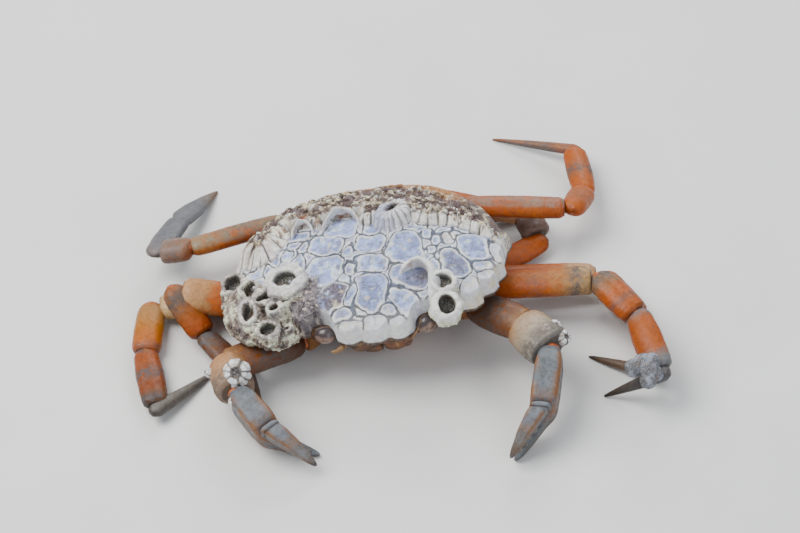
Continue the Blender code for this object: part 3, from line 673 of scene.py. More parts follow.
def finish_piece(name: str, bm: bmesh.types.BMesh, place: Matrix, finish: Finish, slot: Slot, nodes: tuple = (),
                 masks: Optional[dict] = None, tint: Optional[np.ndarray] = None) -> bpy.types.Object:
    """Turn a shaped mesh into a piece of the crab.

    Args:
        name: Name of the piece.
        bm: Mesh in millimetres, freed here.
        place: Place of its frame in the frame of the floor.
        finish: Finish that dresses it.
        slot: Record slot of that finish, not used.
        nodes: CAD nodes that it stands for.
        masks: Numbers to store on the vertices, by name.
        tint: Colours to store on the vertices.

    Returns:
        The new object.
    """
    bmesh.ops.transform(bm, matrix=Matrix.Scale(MM, 4) @ place, verts=bm.verts[:])
    bmesh.ops.recalc_face_normals(bm, faces=bm.faces[:])
    mesh = bpy.data.meshes.new(name)
    bm.to_mesh(mesh)
    bm.free()
    mesh.shade_smooth()
    for key, values in (masks or {}).items():
        layer = mesh.attributes.new(key, "FLOAT", "POINT")
        layer.data.foreach_set("value", np.clip(values, 0.0, 1.0).astype(np.float32))
    if tint is not None:
        layer = mesh.attributes.new("tint", "FLOAT_COLOR", "POINT")
        full = np.ones((len(tint), 4), dtype=np.float32)
        full[:, :3] = np.clip(tint, 0.0, 1.0)
        layer.data.foreach_set("color", full.ravel())
    piece = bpy.data.objects.new(name, mesh)
    mesh.materials.append(Finishes.get(finish))
    bpy.context.scene.collection.objects.link(piece)
    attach(piece, "root")
    if nodes:
        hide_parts(*nodes)
    log.info("%s: %d faces", name, len(mesh.polygons))
    return piece


def joined(parts: list) -> bmesh.types.BMesh:
    """Put several meshes into one, without fusing them.

    Args:
        parts: Meshes, freed here.

    Returns:
        The new mesh.
    """
    bench = bpy.data.meshes.new("bench")
    total = bmesh.new()
    for part in parts:
        part.to_mesh(bench)
        part.free()
        total.from_mesh(bench)
    bpy.data.meshes.remove(bench)
    return total


def fused(parts: list, voxel: float) -> bmesh.types.BMesh:
    """Melt several closed meshes into one skin.

    Args:
        parts: Closed meshes in millimetres, freed here.
        voxel: Fineness of the skin.

    Returns:
        The new mesh.
    """
    bm = joined(parts)
    mesh = bpy.data.meshes.new("melt")
    bm.to_mesh(mesh)
    bm.free()
    body = bpy.data.objects.new("melt", mesh)
    bpy.context.scene.collection.objects.link(body)
    melt = body.modifiers.new("melt", "REMESH")
    melt.mode = "VOXEL"
    melt.voxel_size = voxel
    view = bpy.context.evaluated_depsgraph_get()
    skin = bpy.data.meshes.new_from_object(body.evaluated_get(view))
    result = bmesh.new()
    result.from_mesh(skin)
    bpy.data.objects.remove(body, do_unlink=True)
    bpy.data.meshes.remove(skin)
    return result


def normals_of(bm: bmesh.types.BMesh) -> np.ndarray:
    """Directions of all vertices' normals."""
    bm.normal_update()
    return np.array([v.normal[:] for v in bm.verts])


def across_from(axis: Vector, thin: Vector) -> tuple[Vector, Vector]:
    """Wide and thin directions across an axis, from a wish for the thin one."""
    thin = (thin - axis * thin.dot(axis)).normalized()
    return axis.cross(thin).normalized(), thin


# The shell


@dataclass
class ShellForm:
    """Outline and dome of the shell, in the body's frame."""

    half_width: float = 33.0
    rise: float = 9.3
    rim: float = 14.2
    slope: float = 0.025
    brow: float = 0.45
    front_edge: tuple = ((0.0, -25.0), (1.6, -24.9), (3.2, -23.8), (4.9, -24.7), (6.6, -24.5), (8.6, -23.2),
                         (9.2, -21.4), (10.4, -20.2), (12.6, -19.6), (14.2, -19.9))
    left_side: tuple = ((16.6, -20.9), (19.2, -19.5), (19.3, -18.1), (22.6, -18.0), (24.6, -16.4), (24.3, -14.6),
                        (27.0, -13.6), (28.1, -11.9), (27.7, -10.6), (29.4, -9.0), (29.8, -7.8), (29.1, -6.4),
                        (29.9, -1.6), (31.2, 0.9), (29.4, 2.2), (27.8, 5.7), (25.4, 9.8), (18.8, 16.5),
                        (12.8, 21.6), (7.5, 24.3))
    right_side: tuple = ((16.6, -20.8), (18.8, -18.8), (18.8, -17.2), (21.9, -16.8), (23.6, -14.9), (23.3, -13.2),
                         (26.4, -12.2), (27.7, -10.2), (27.2, -8.8), (30.0, -7.3), (30.9, -5.4), (30.6, -3.6),
                         (33.4, -1.2), (34.2, 2.2), (33.6, 4.8), (31.2, 9.2), (27.6, 13.2), (22.8, 17.4),
                         (18.2, 21.0), (13.2, 23.7), (7.5, 24.9))

    def rim_height(self, y: np.ndarray) -> np.ndarray:
        """Height of the margin."""
        return self.rim - self.slope * y

    def dome(self, x: np.ndarray, y: np.ndarray) -> np.ndarray:
        """Height of the bare back, which falls more gently towards the rear.

        Args:
            x: Places across the shell.
            y: Places along the shell.

        Returns:
            The heights.
        """
        side = (np.abs(x) / self.half_width) ** 2.4
        behind = 1.0 - side - ((y + 1.0) / 26.0) ** 2
        ahead = 1.0 - side - (np.abs(y + 1.0) / 25.5) ** 2.6
        power = 0.6 + 0.17 * smooth_step(-1.0, 14.0, y)
        inside = np.maximum(0.0, np.where(y > -1.0, behind, ahead))
        return self.rim_height(y) + self.rise * inside**power

    def ground(self, x: float, y: float) -> float:
        """Height of the bare back at one place."""
        return float(self.dome(np.array([x]), np.array([y]))[0])

    def outline(self, turn: np.ndarray) -> np.ndarray:
        """Distance of the outline from the middle in given directions, with its corners rounded.

        Args:
            turn: Directions in radians.

        Returns:
            The distances.
        """
        left = list(self.front_edge) + list(self.left_side)
        right = [(-x, y) for x, y in list(self.front_edge[1:]) + list(self.right_side)]
        corners = left + right + [(0.0, 25.0)]
        corners.sort(key=lambda corner: math.atan2(corner[1], corner[0]))
        ring = np.array([corners[-1]] + corners + [corners[0]])
        angles = np.arctan2(ring[:, 1], ring[:, 0])
        angles[0] -= 2.0 * math.pi
        angles[-1] += 2.0 * math.pi
        total = np.zeros(len(turn))
        for step in (-0.012, -0.006, 0.0, 0.006, 0.012):
            place = turn + step
            index = np.clip(np.searchsorted(angles, place) - 1, 0, len(ring) - 2)
            first = ring[index]
            run = ring[index + 1] - first
            top = first[:, 0] * run[:, 1] - first[:, 1] * run[:, 0]
            total += top / (np.cos(place) * run[:, 1] - np.sin(place) * run[:, 0]) / 5.0
        return total

    def sheet(self, cells: int) -> tuple[bmesh.types.BMesh, np.ndarray, np.ndarray, np.ndarray]:
        """Even mesh that fills the outline.

        Args:
            cells: Number of cells on each side of the sheet.

        Returns:
            The flat mesh, and x, y and the distance to the outline of every vertex.
        """
        bm = bmesh.new()
        bmesh.ops.create_grid(bm, x_segments=cells, y_segments=cells, size=1.0)
        spots = spots_of(bm)
        a = spots[:, 0] + 1e-9
        b = spots[:, 1] + 1e-9
        wide = np.abs(a) >= np.abs(b)
        radius = np.maximum(np.abs(a), np.abs(b))
        turn = np.where(wide, 0.25 * math.pi * b / a, 0.5 * math.pi - 0.25 * math.pi * a / b)
        turn = turn + np.where(np.where(wide, a, b) < 0.0, math.pi, 0.0)
        turn = np.arctan2(np.sin(turn), np.cos(turn))
        reach = self.outline(turn)
        spread = radius * (1.22 - 0.22 * radius * radius)
        return bm, spread * reach * np.cos(turn), spread * reach * np.sin(turn), (1.0 - spread) * reach


@dataclass
class PlateField:
    """Scar plates: rounded large ones, and small ones strewn between them.

    Each large plate holds the place of its middle, its half width and half depth and its turn.
    """

    form: ShellForm
    large: tuple = (
        (-10.6, -1.3, 4.4, 3.0, -14), (0.2, -2.8, 3.6, 2.9, -10), (8.1, -5.2, 4.2, 5.1, -6),
        (1.2, -9.1, 4.2, 2.9, -6), (-9.9, -9.0, 4.6, 4.6, -13), (0.3, -16.7, 4.2, 4.7, -7),
        (-8.6, -17.2, 4.0, 4.2, -10), (8.0, -18.9, 3.2, 4.3, 24), (9.4, -13.6, 4.4, 3.9, -4),
        (3.8, -21.6, 1.9, 1.9, -5), (0.6, -24.0, 3.5, 2.5, -5), (-4.8, -24.2, 2.9, 1.9, -6),
        (-6.6, -21.5, 2.8, 2.0, -8), (6.2, -23.6, 2.5, 1.4, -3), (23.3, -5.4, 4.2, 4.3, 8),
        (19.3, -10.4, 3.4, 4.4, 3), (25.3, -10.6, 2.6, 2.3, 30), (28.6, -5.7, 2.2, 3.3, 20),
        (26.4, -13.3, 2.6, 3.2, 14), (22.7, -17.1, 2.7, 2.6, 9), (15.7, -3.0, 1.2, 1.9, -1),
        (17.8, -2.8, 0.9, 2.2, 1), (14.6, -6.0, 1.4, 1.4, -2), (17.2, -0.5, 1.9, 1.1, 0), (11.8, 4.1, 2.0, 2.6, -5),
        (-4.0, -10.0, 1.4, 1.8, -10), (-5.7, -12.7, 1.8, 2.1, -10), (-4.3, -17.5, 1.7, 3.0, -18),
        (-4.6, -4.4, 1.5, 2.3, -11), (-6.8, 3.4, 3.9, 3.8, -13), (0.7, 1.6, 2.4, 2.0, -10),
        (-19.6, -1.8, 1.9, 1.3, -21), (-16.9, 3.6, 2.9, 1.9, -20), (-13.7, 3.2, 1.3, 1.4, -17),
        (-18.1, 1.1, 1.9, 1.4, -21), (13.6, -1.1, 1.3, 1.6, -3), (16.5, -8.4, 1.3, 1.4, 0),
        (-15.6, -0.5, 1.4, 1.7, -18), (-2.2, -20.8, 1.6, 1.0, -7),
    )
    growth: tuple = (2, 5, 14, 15)
    grimy: tuple = ((6, 0.95), (12, 0.45), (15, 0.6), (22, 0.3), (37, 0.35))
    tries: int = 2600
    seed: int = 7
    corner: float = 4.2
    square: float = 2.7

    def __post_init__(self) -> None:
        """Strew small plates between the large ones."""
        draw = random.Random(self.seed)
        seeds = []
        sizes = []
        for _ in range(self.tries):
            x = draw.uniform(-33.0, 33.0)
            y = draw.uniform(-25.0, 25.0)
            spot = np.array([[x, y]])
            if math.hypot(x, y) > float(self.form.outline(np.array([math.atan2(y, x)]))[0]) - 0.8:
                continue
            if float(self.inside_large(spot).max()) > -0.35:
                continue
            if all(math.hypot(x - a, y - b) > 1.9 + size * 0.5 for (a, b), size in zip(seeds, sizes)):
                seeds.append((x, y))
                sizes.append(1.2 * draw.uniform(0.6, 1.3))
        self.seeds = np.array(seeds)
        self.sizes = np.array(sizes)

    def inside_large(self, spots: np.ndarray) -> np.ndarray:
        """How far each place lies inside each large plate, in millimetres, negative outside it.

        Args:
            spots: Places, one row each.

        Returns:
            One row for each place and one column for each plate.
        """
        columns = []
        for x, y, wide, deep, turn in self.large:
            a = math.radians(turn)
            u = ((spots[:, 0] - x) * math.cos(a) + (spots[:, 1] - y) * math.sin(a)) / wide
            v = (-(spots[:, 0] - x) * math.sin(a) + (spots[:, 1] - y) * math.cos(a)) / deep
            far = (np.abs(u) ** self.square + np.abs(v) ** self.square) ** (1.0 / self.square)
            columns.append((1.0 - far) * (np.hypot(u * wide, v * deep) / np.maximum(far, 0.05)))
        return np.stack(columns, axis=1)

    def split(self, points: np.ndarray) -> tuple[np.ndarray, np.ndarray]:
        """Number of the plate at every place, and its distance from the groove.

        Args:
            points: Places, one row each.

        Returns:
            Both values for every place.
        """
        warped = points[:, :2].copy()
        for axis in range(2):
            warped[:, axis] += 0.85 * lumps(points, 3.4, 11 + axis) + 0.34 * lumps(points, 1.4, 21 + axis)
            warped[:, axis] += 0.12 * lumps(points, 0.6, 27 + axis)
        depth = self.inside_large(warped)
        rows = np.arange(len(points))
        first = np.argmax(depth, axis=1)
        best = depth[rows, first]
        depth[rows, first] = -99.0
        second = depth.max(axis=1)
        large_gap = self.soft(best, 0.5 * (best - second))

        power = ((warped[:, None, :] - self.seeds[None, :, :]) ** 2).sum(axis=2) - (self.sizes**2)[None, :]
        small = np.argmin(power, axis=1)
        least = power[rows, small]
        apart = np.linalg.norm(self.seeds[:, None, :] - self.seeds[None, :, :], axis=2)[small]
        apart[rows, small] = 1.0
        gaps = (power - least[:, None]) / (2.0 * apart)
        gaps[rows, small] = 99.0
        small_gap = self.soft(gaps.min(axis=1), -best)
        inside = best > 0.0
        own = np.where(inside, first, small + len(self.large))
        return own, np.where(inside, large_gap, small_gap)

    def soft(self, first: np.ndarray, second: np.ndarray) -> np.ndarray:
        """Smaller of two distances, with the corners between them rounded.

        Args:
            first: First distances.
            second: Second distances.

        Returns:
            The rounded distances.
        """
        a = np.exp(-self.corner * np.clip(first, -2.0, 20.0))
        b = np.exp(-self.corner * np.clip(second, -2.0, 20.0))
        return np.maximum(-np.log(a + b) / self.corner, 0.0)


@dataclass
class WallLine:
    """Feet of the broken barnacle walls that stand along the crest, from the crab's right to its left."""

    feet: tuple = ((-42.0, 3.0), (-34.0, 1.6), (-29.6, -1.6), (-25.9, -2.9), (-22.3, -1.1), (-20.2, 1.6),
                   (-19.4, 4.0), (-18.2, 5.4), (-16.2, 6.2), (-14.2, 5.6), (-12.8, 3.4), (-11.4, 4.6),
                   (-9.9, 6.6), (-6.6, 7.4), (-3.4, 6.2), (-2.2, 3.6), (1.0, 3.0), (6.0, 3.6), (10.6, 2.6),
                   (12.9, 1.4), (16.2, 1.3), (19.6, 0.6), (22.9, -0.6), (26.6, -2.2), (28.9, -3.3), (38.0, -2.6))
    heights: tuple = ((-36.0, 2.6), (-30.0, 3.0), (-22.0, 2.9), (-17.0, 2.6), (-6.6, 2.5), (-2.0, 2.4), (6.0, 2.0),
                      (13.0, 1.7), (24.0, 1.6), (28.0, 1.2), (31.0, 0.6))
    runs: tuple = ((-36.0, 3.0), (-30.0, 4.2), (-20.6, 4.4), (-19.2, 1.6), (-14.0, 1.5), (-10.0, 1.2), (-3.0, 1.2),
                   (0.0, 2.4), (13.0, 2.2), (24.0, 2.1), (30.0, 1.4))

    def measure(self, x: np.ndarray, y: np.ndarray) -> tuple[np.ndarray, np.ndarray]:
        """Distance behind the feet, negative in front of them, and the way along the line.

        Args:
            x: Places across the shell.
            y: Places along the shell.

        Returns:
            Both values for every place.
        """
        least = np.full(len(x), 1e9)
        along = np.zeros(len(x))
        start = 0.0
        for (ax, ay), (bx, by) in zip(self.feet, self.feet[1:]):
            length = math.hypot(bx - ax, by - ay)
            step = ((x - ax) * (bx - ax) + (y - ay) * (by - ay)) / length
            step = np.clip(step, 0.0, length)
            far = np.hypot(x - ax - (bx - ax) * step / length, y - ay - (by - ay) * step / length)
            near = far < least
            least = np.where(near, far, least)
            along = np.where(near, start + step, along)
            start += length
        behind = y > np.interp(x, *zip(*self.feet))
        return np.where(behind, least, -least), along


@dataclass
class Back:
    """The scarred back of the shell with its broken barnacle walls and gritty rear."""

    form: ShellForm = field(default_factory=ShellForm)
    walls: WallLine = field(default_factory=WallLine)
    cells: int = 298
    blue: Colour = seen(154, 169, 197)
    cloud: Colour = seen(185, 196, 213)
    pale: Colour = seen(208, 212, 221)
    white: Colour = seen(238, 236, 232)
    pink: Colour = seen(246, 229, 222)
    purple: Colour = seen(112, 100, 116)
    cream: Colour = seen(222, 209, 197)
    brown: Colour = seen(104, 80, 70)
    plum: Colour = seen(118, 84, 88)
    ash: Colour = seen(156, 138, 130)
    rust: Colour = seen(190, 112, 58)
    rim_orange: Colour = seen(204, 162, 98)
    panels: int = 60
    bays: tuple = ((-6.8, 7.3, 3.2, 1.4), (-16.2, 6.2, 1.8, 1.2))
    openings: tuple = ((-6.2, 11.0, 2.0), (-15.6, 9.4, 1.7), (-20.6, 8.6, 1.3), (-27.0, 6.4, 1.5), (-31.0, 3.4, 1.3),
                       (-1.0, 9.4, 1.6), (10.5, 9.0, 1.5), (17.0, 6.6, 1.3), (23.0, 4.0, 1.2), (-11.4, 12.4, 1.5))

    def rosettes(self, x: np.ndarray, y: np.ndarray, rear: np.ndarray) -> np.ndarray:
        """Small barnacle rings strewn over the gritty rear, and a few larger open ones.

        Args:
            x: Places across the shell.
            y: Places along the shell.
            rear: Share of the crust there.

        Returns:
            Their relief.
        """
        draw = random.Random(5)
        total = np.zeros(len(x))
        rings = [(a, b, size) for a, b, size in self.openings]
        for _ in range(150):
            turn = draw.uniform(0.02 * math.pi, 0.98 * math.pi)
            reach = draw.uniform(0.3, 0.98)
            rings.append((30.0 * math.cos(turn) * reach, 2.0 + 21.0 * math.sin(turn) * reach, draw.uniform(0.5, 1.2)))
        for a, b, size in rings:
            distance = np.hypot(x - a, (y - b) * draw.uniform(0.9, 1.3))
            ring = 0.8 * bell(distance, size, 0.34) - 0.55 * bell(distance, 0.0, size * 0.6)
            total = np.maximum(total, ring) + np.minimum(ring, 0.0)
        return total * rear

    def colours(self, points: np.ndarray, own: np.ndarray, gap: np.ndarray, plates: PlateField) -> np.ndarray:
        """Colours of the plates before the crust is laid over them.

        Args:
            points: Places, one row each.
            own: Plate at every place.
            gap: Distance from its groove.
            plates: The plates.

        Returns:
            One colour for each place.
        """
        draw = random.Random(3)
        count = len(plates.large) + len(plates.seeds)
        kind = np.array([draw.random() for _ in range(count)])
        clouds = layered(points, 2.2, 4, 40)
        tint = blend(self.blue, self.cloud, smooth_step(-0.45, 0.35, clouds + 0.7 * (kind[own] - 0.45)))
        paler = layered(points, 1.5, 3, 44) + 0.3 * (kind[own] - 0.5)
        tint = blend(tint, self.pale, 0.75 * smooth_step(0.1, 0.5, paler))
        tint = blend(tint, self.pale, 0.35 * smooth_step(0.9, 0.3, gap))
        front = smooth_step(-20.2, -23.0, points[:, 1]) * smooth_step(13.0, 9.5, np.abs(points[:, 0]))
        tint = blend(tint, self.pink, front * 0.9)
        tint = blend(tint, self.cream, front * smooth_step(0.0, 0.4, layered(points, 2.0, 3, 46)) * 0.6)
        bluer = smooth_step(0.05, 0.5, layered(points, 1.0, 4, 78))
        tint = blend(tint, seen(122, 134, 160), 0.6 * bluer * (1.0 - front))
        tint = blend(tint, seen(150, 140, 142), 0.5 * smooth_step(0.15, 0.5, layered(points, 0.8, 3, 76)))
        grimy = np.zeros(count)
        for index, share in plates.grimy:
            grimy[index] = share
        blotches = smooth_step(-0.5, 0.05, layered(points, 1.0, 4, 60))
        tint = blend(tint, self.purple, grimy[own] * blotches * smooth_step(0.2, 0.8, gap))
        tint = blend(tint, self.brown, 0.5 * smooth_step(0.25, 0.6, layered(points, 1.1, 3, 70)) * (kind[own] > 0.5))
        tint = blend(tint, self.cream, 0.55 * smooth_step(0.15, 0.55, layered(points, 1.7, 3, 74)) * (kind[own] < 0.5))
        shadow = bell(points[:, 0], 11.4, 3.4) * bell(points[:, 1], -13.6, 3.6)
        tint = blend(tint, self.purple, shadow * smooth_step(-0.8, 0.1, clouds) * 0.85)
        # Dark corner under the broken barnacle's arch: painted shade.
        corner = bell(points[:, 0], 13.0, 1.7) * bell(points[:, 1], -12.8, 1.9)
        return blend(tint, seen(92, 86, 86), corner * 0.85)

    def build(self) -> None:
        """Model and dress the back."""
        bm, x, y, edge = self.form.sheet(self.cells)
        rim = self.form.rim_height(y)
        brow = np.sqrt(np.maximum(0.0, 1.0 - (1.0 - np.minimum(edge / self.form.brow, 1.0)) ** 2))
        base = rim + (self.form.dome(x, y) - rim) * brow
        points = np.stack([x, y, base], axis=1)
        plates = PlateField(self.form)
        own, gap = plates.split(points)
        away = smooth_step(0.0, 0.9, edge)

        draw = random.Random(9)
        count = len(plates.large) + len(plates.seeds)
        middles = np.concatenate([np.array([row[:2] for row in plates.large]), plates.seeds])
        lift = np.array([draw.uniform(-0.14, 0.2) for _ in range(count)])
        lean = np.array([[draw.uniform(-0.04, 0.04) for _ in range(2)] for _ in range(count)])
        slant = ((points[:, :2] - middles[own]) * lean[own]).sum(axis=1)
        scar = (-0.3 * bell(gap, 0.0, 0.17) + 0.16 * bell(gap, 0.38, 0.2)
                - 0.12 * smooth_step(0.6, 2.4, gap) + lift[own] + slant)
        growth = np.isin(own, plates.growth) * smooth_step(1.3, 1.8, gap)
        scar += 0.07 * np.sin(gap * 2.0 * math.pi / 0.7 + 2.0 * lumps(points, 2.0, 5)) * growth
        hollow = bell(x, 11.4, 3.0) * bell(y, -13.4, 3.2)
        scar -= 1.0 * hollow

        ahead, along = self.walls.measure(x, y)
        ahead = ahead + 0.3 * lumps(points, 1.1, 31)
        run = np.interp(x, *zip(*self.walls.runs))
        tall = np.interp(x, *zip(*self.walls.heights))
        cuts = np.cumsum([draw.uniform(1.6, 3.0) for _ in range(self.panels)])
        levels = np.array([draw.uniform(0.72, 1.12) for _ in range(self.panels + 1)])
        leans = np.array([draw.uniform(-0.5, 0.5) for _ in range(self.panels + 1)])
        way = along + 0.25 * lumps(points, 1.4, 32)
        panel = np.searchsorted(cuts, way)
        crack = np.abs(way[:, None] - cuts[None, :]).min(axis=1)
        share = (ahead + leans[panel]) / run
        climb = smooth_step(-0.05, 0.95, share)
        rear = smooth_step(0.75, 1.2, share)
        face = smooth_step(-0.12, 0.1, share) * (1.0 - rear)
        behind_fall = np.where(x < -8.0, 14.0, 9.0)
        fall = (1.0 - 0.8 * smooth_step(2.0, behind_fall, ahead - run))
        margin = np.where(x < -9.0, 1.3, np.interp(x, (-9.0, -4.0, 40.0), (1.3, 5.0, 5.0)))
        fade = smooth_step(0.0, 1.0, edge / margin)
        ribs = np.abs(np.sin(math.pi * (way + 0.2 * lumps(points, 0.9, 33)) / 0.86)) ** 0.6
        wall_up = tall * levels[panel] * climb * fall + (0.34 * ribs - 0.8 * bell(crack, 0.0, 0.16)) * face
        wall_up += 0.75 * np.maximum(0.0, lumps(points, 0.8, 37)) * bell(share, 1.02, 0.3)
        grit = layered(points, 1.3, 4, 50)
        rings = self.rosettes(x, y, rear)
        wall_up += (0.62 * grit + rings) * rear
        wall_up *= fade
        height = base + (scar * (1.0 - climb) + wall_up) * away
        height += 0.03 * layered(points, 0.7, 2, 80)
        height -= 0.3 * bell(edge, 0.0, 0.3)

        tint = self.colours(points, own, gap, plates)
        bone = blend(self.cream, self.white, ribs)
        # Grey in the furrows between the ribs and dark in the cracks between panels: painted shade.
        bone = blend(bone, seen(136, 124, 118), 0.5 * (1.0 - smooth_step(0.08, 0.4, ribs)))
        bone = blend(bone, seen(78, 70, 68), bell(crack, 0.0, 0.2))
        bone = blend(bone, seen(184, 166, 150), 0.4 * smooth_step(0.0, 0.5, layered(points, 2.4, 3, 92)))
        tint = blend(tint, bone, np.maximum(face, climb))
        crust = blend(self.ash, self.cream, smooth_step(0.0, 0.4, grit + 0.6 * rings))
        crust = blend(crust, self.white, smooth_step(0.45, 0.95, grit + 0.8 * rings))
        crust = blend(crust, self.brown, smooth_step(0.25, -0.2, grit))
        crust = blend(crust, self.plum, smooth_step(-0.1, 0.3, layered(points, 2.2, 4, 90)) * 0.9)
        crust = blend(crust, seen(160, 112, 78), smooth_step(0.2, 0.5, layered(points, 1.5, 3, 88)) * 0.7)
        crust = blend(crust, seen(72, 60, 60), smooth_step(-0.1, -0.45, rings + 0.3 * grit))
        tint = blend(tint, crust, rear)
        for bay_x, bay_y, wide, deep in self.bays:
            # The hollow of each bay is darkened: painted shadow.
            bay_shadow = bell(x, bay_x, wide) * bell(y, bay_y, deep)
            tint = blend(tint, seen(112, 98, 84), bay_shadow * 0.9)
            lit = bell(x, bay_x + 0.4, wide * 0.6) * bell(y, bay_y + 1.0, deep * 0.55)
            tint = blend(tint, self.rust, lit * smooth_step(-0.5, 0.0, lumps(points, 1.2, 95)))
        band = smooth_step(5.4, 3.8, edge + 0.8 * lumps(points, 2.4, 93)) * smooth_step(7.0, 12.0, y)
        band *= smooth_step(-13.0, -9.0, x) * smooth_step(23.0, 17.0, x)
        tint = blend(tint, blend(self.rim_orange, self.cream,
                                 smooth_step(0.1, 0.5, layered(points, 1.6, 3, 91))), band * 0.92)
        tint = blend(tint, self.white, smooth_step(1.2, 0.3, edge) * smooth_step(2.0, -2.0, y) * 0.6)
        side = smooth_step(3.4, 1.0, edge) * smooth_step(2.0, -2.0, y) * smooth_step(13.0, 17.0, np.abs(x))
        tint = blend(tint, blend(self.white, self.cream,
                                 smooth_step(-0.1, 0.3, layered(points, 1.4, 3, 94))), side * 0.75)
        right = smooth_step(-10.8, -12.4, x + 0.9 * lumps(points, 1.3, 96)) * smooth_step(-9.0, -11.5, y)
        dirt = blend(seen(156, 150, 154), seen(94, 84, 90),
                     smooth_step(-0.2, 0.25, layered(points, 1.2, 4, 97)))
        dirt = blend(dirt, seen(206, 199, 194), smooth_step(0.1, 0.45, layered(points, 0.6, 3, 98)) * 0.85)
        tint = blend(tint, dirt, right)
        height += right * 0.4 * layered(points, 1.0, 3, 99) * away
        # Dark line along the feet of the walls: painted shade where they rise from the plates.
        tint = blend(tint, seen(88, 80, 84), 0.6 * bell(ahead, -0.15, 0.35) * (1.0 - rear))
        grime = np.clip(rear + 0.7 * right + 0.08, 0.0, 1.0)
        plate = (1.0 - climb) * smooth_step(0.15, 0.5, edge) * (1.0 - right) * smooth_step(0.05, -0.25, ahead)

        move_to(bm, np.stack([x, y, height], axis=1))
        count = len(bm.verts)
        self.turn_under(bm)
        extra = len(bm.verts) - count
        under = np.tile(np.array(seen(120, 92, 72)), (extra, 1))
        masks = {"grit": np.concatenate([grime, np.full(extra, 0.3)]),
                 "gap": np.concatenate([np.clip(gap / 4.0, 0.0, 1.0), np.full(extra, 0.5)]),
                 "plate": np.concatenate([plate, np.zeros(extra)])}
        finish_piece("carapace_back", bm, BODY_PLACE, ScarFinish(), Slot.SCARRED, ("carapace",), masks,
                     np.concatenate([tint, under]))

    def turn_under(self, bm: bmesh.types.BMesh) -> None:
        """Fold the margin round and under, and close the shell below.

        Args:
            bm: Mesh of the back.
        """
        edges = [edge for edge in bm.edges if edge.is_boundary]
        for share, drop in ((1.004, -0.3), (1.0, -0.45), (0.988, -0.45), (0.965, -0.25), (0.96, 0.15), (0.6, 0.3)):
            made = bmesh.ops.extrude_edge_only(bm, edges=edges)["geom"]
            for vertex in (item for item in made if isinstance(item, bmesh.types.BMVert)):
                vertex.co = Vector((vertex.co.x * share, vertex.co.y * share, vertex.co.z + drop))
            edges = [item for item in made if isinstance(item, bmesh.types.BMEdge)]
        bmesh.ops.contextual_create(bm, geom=edges)


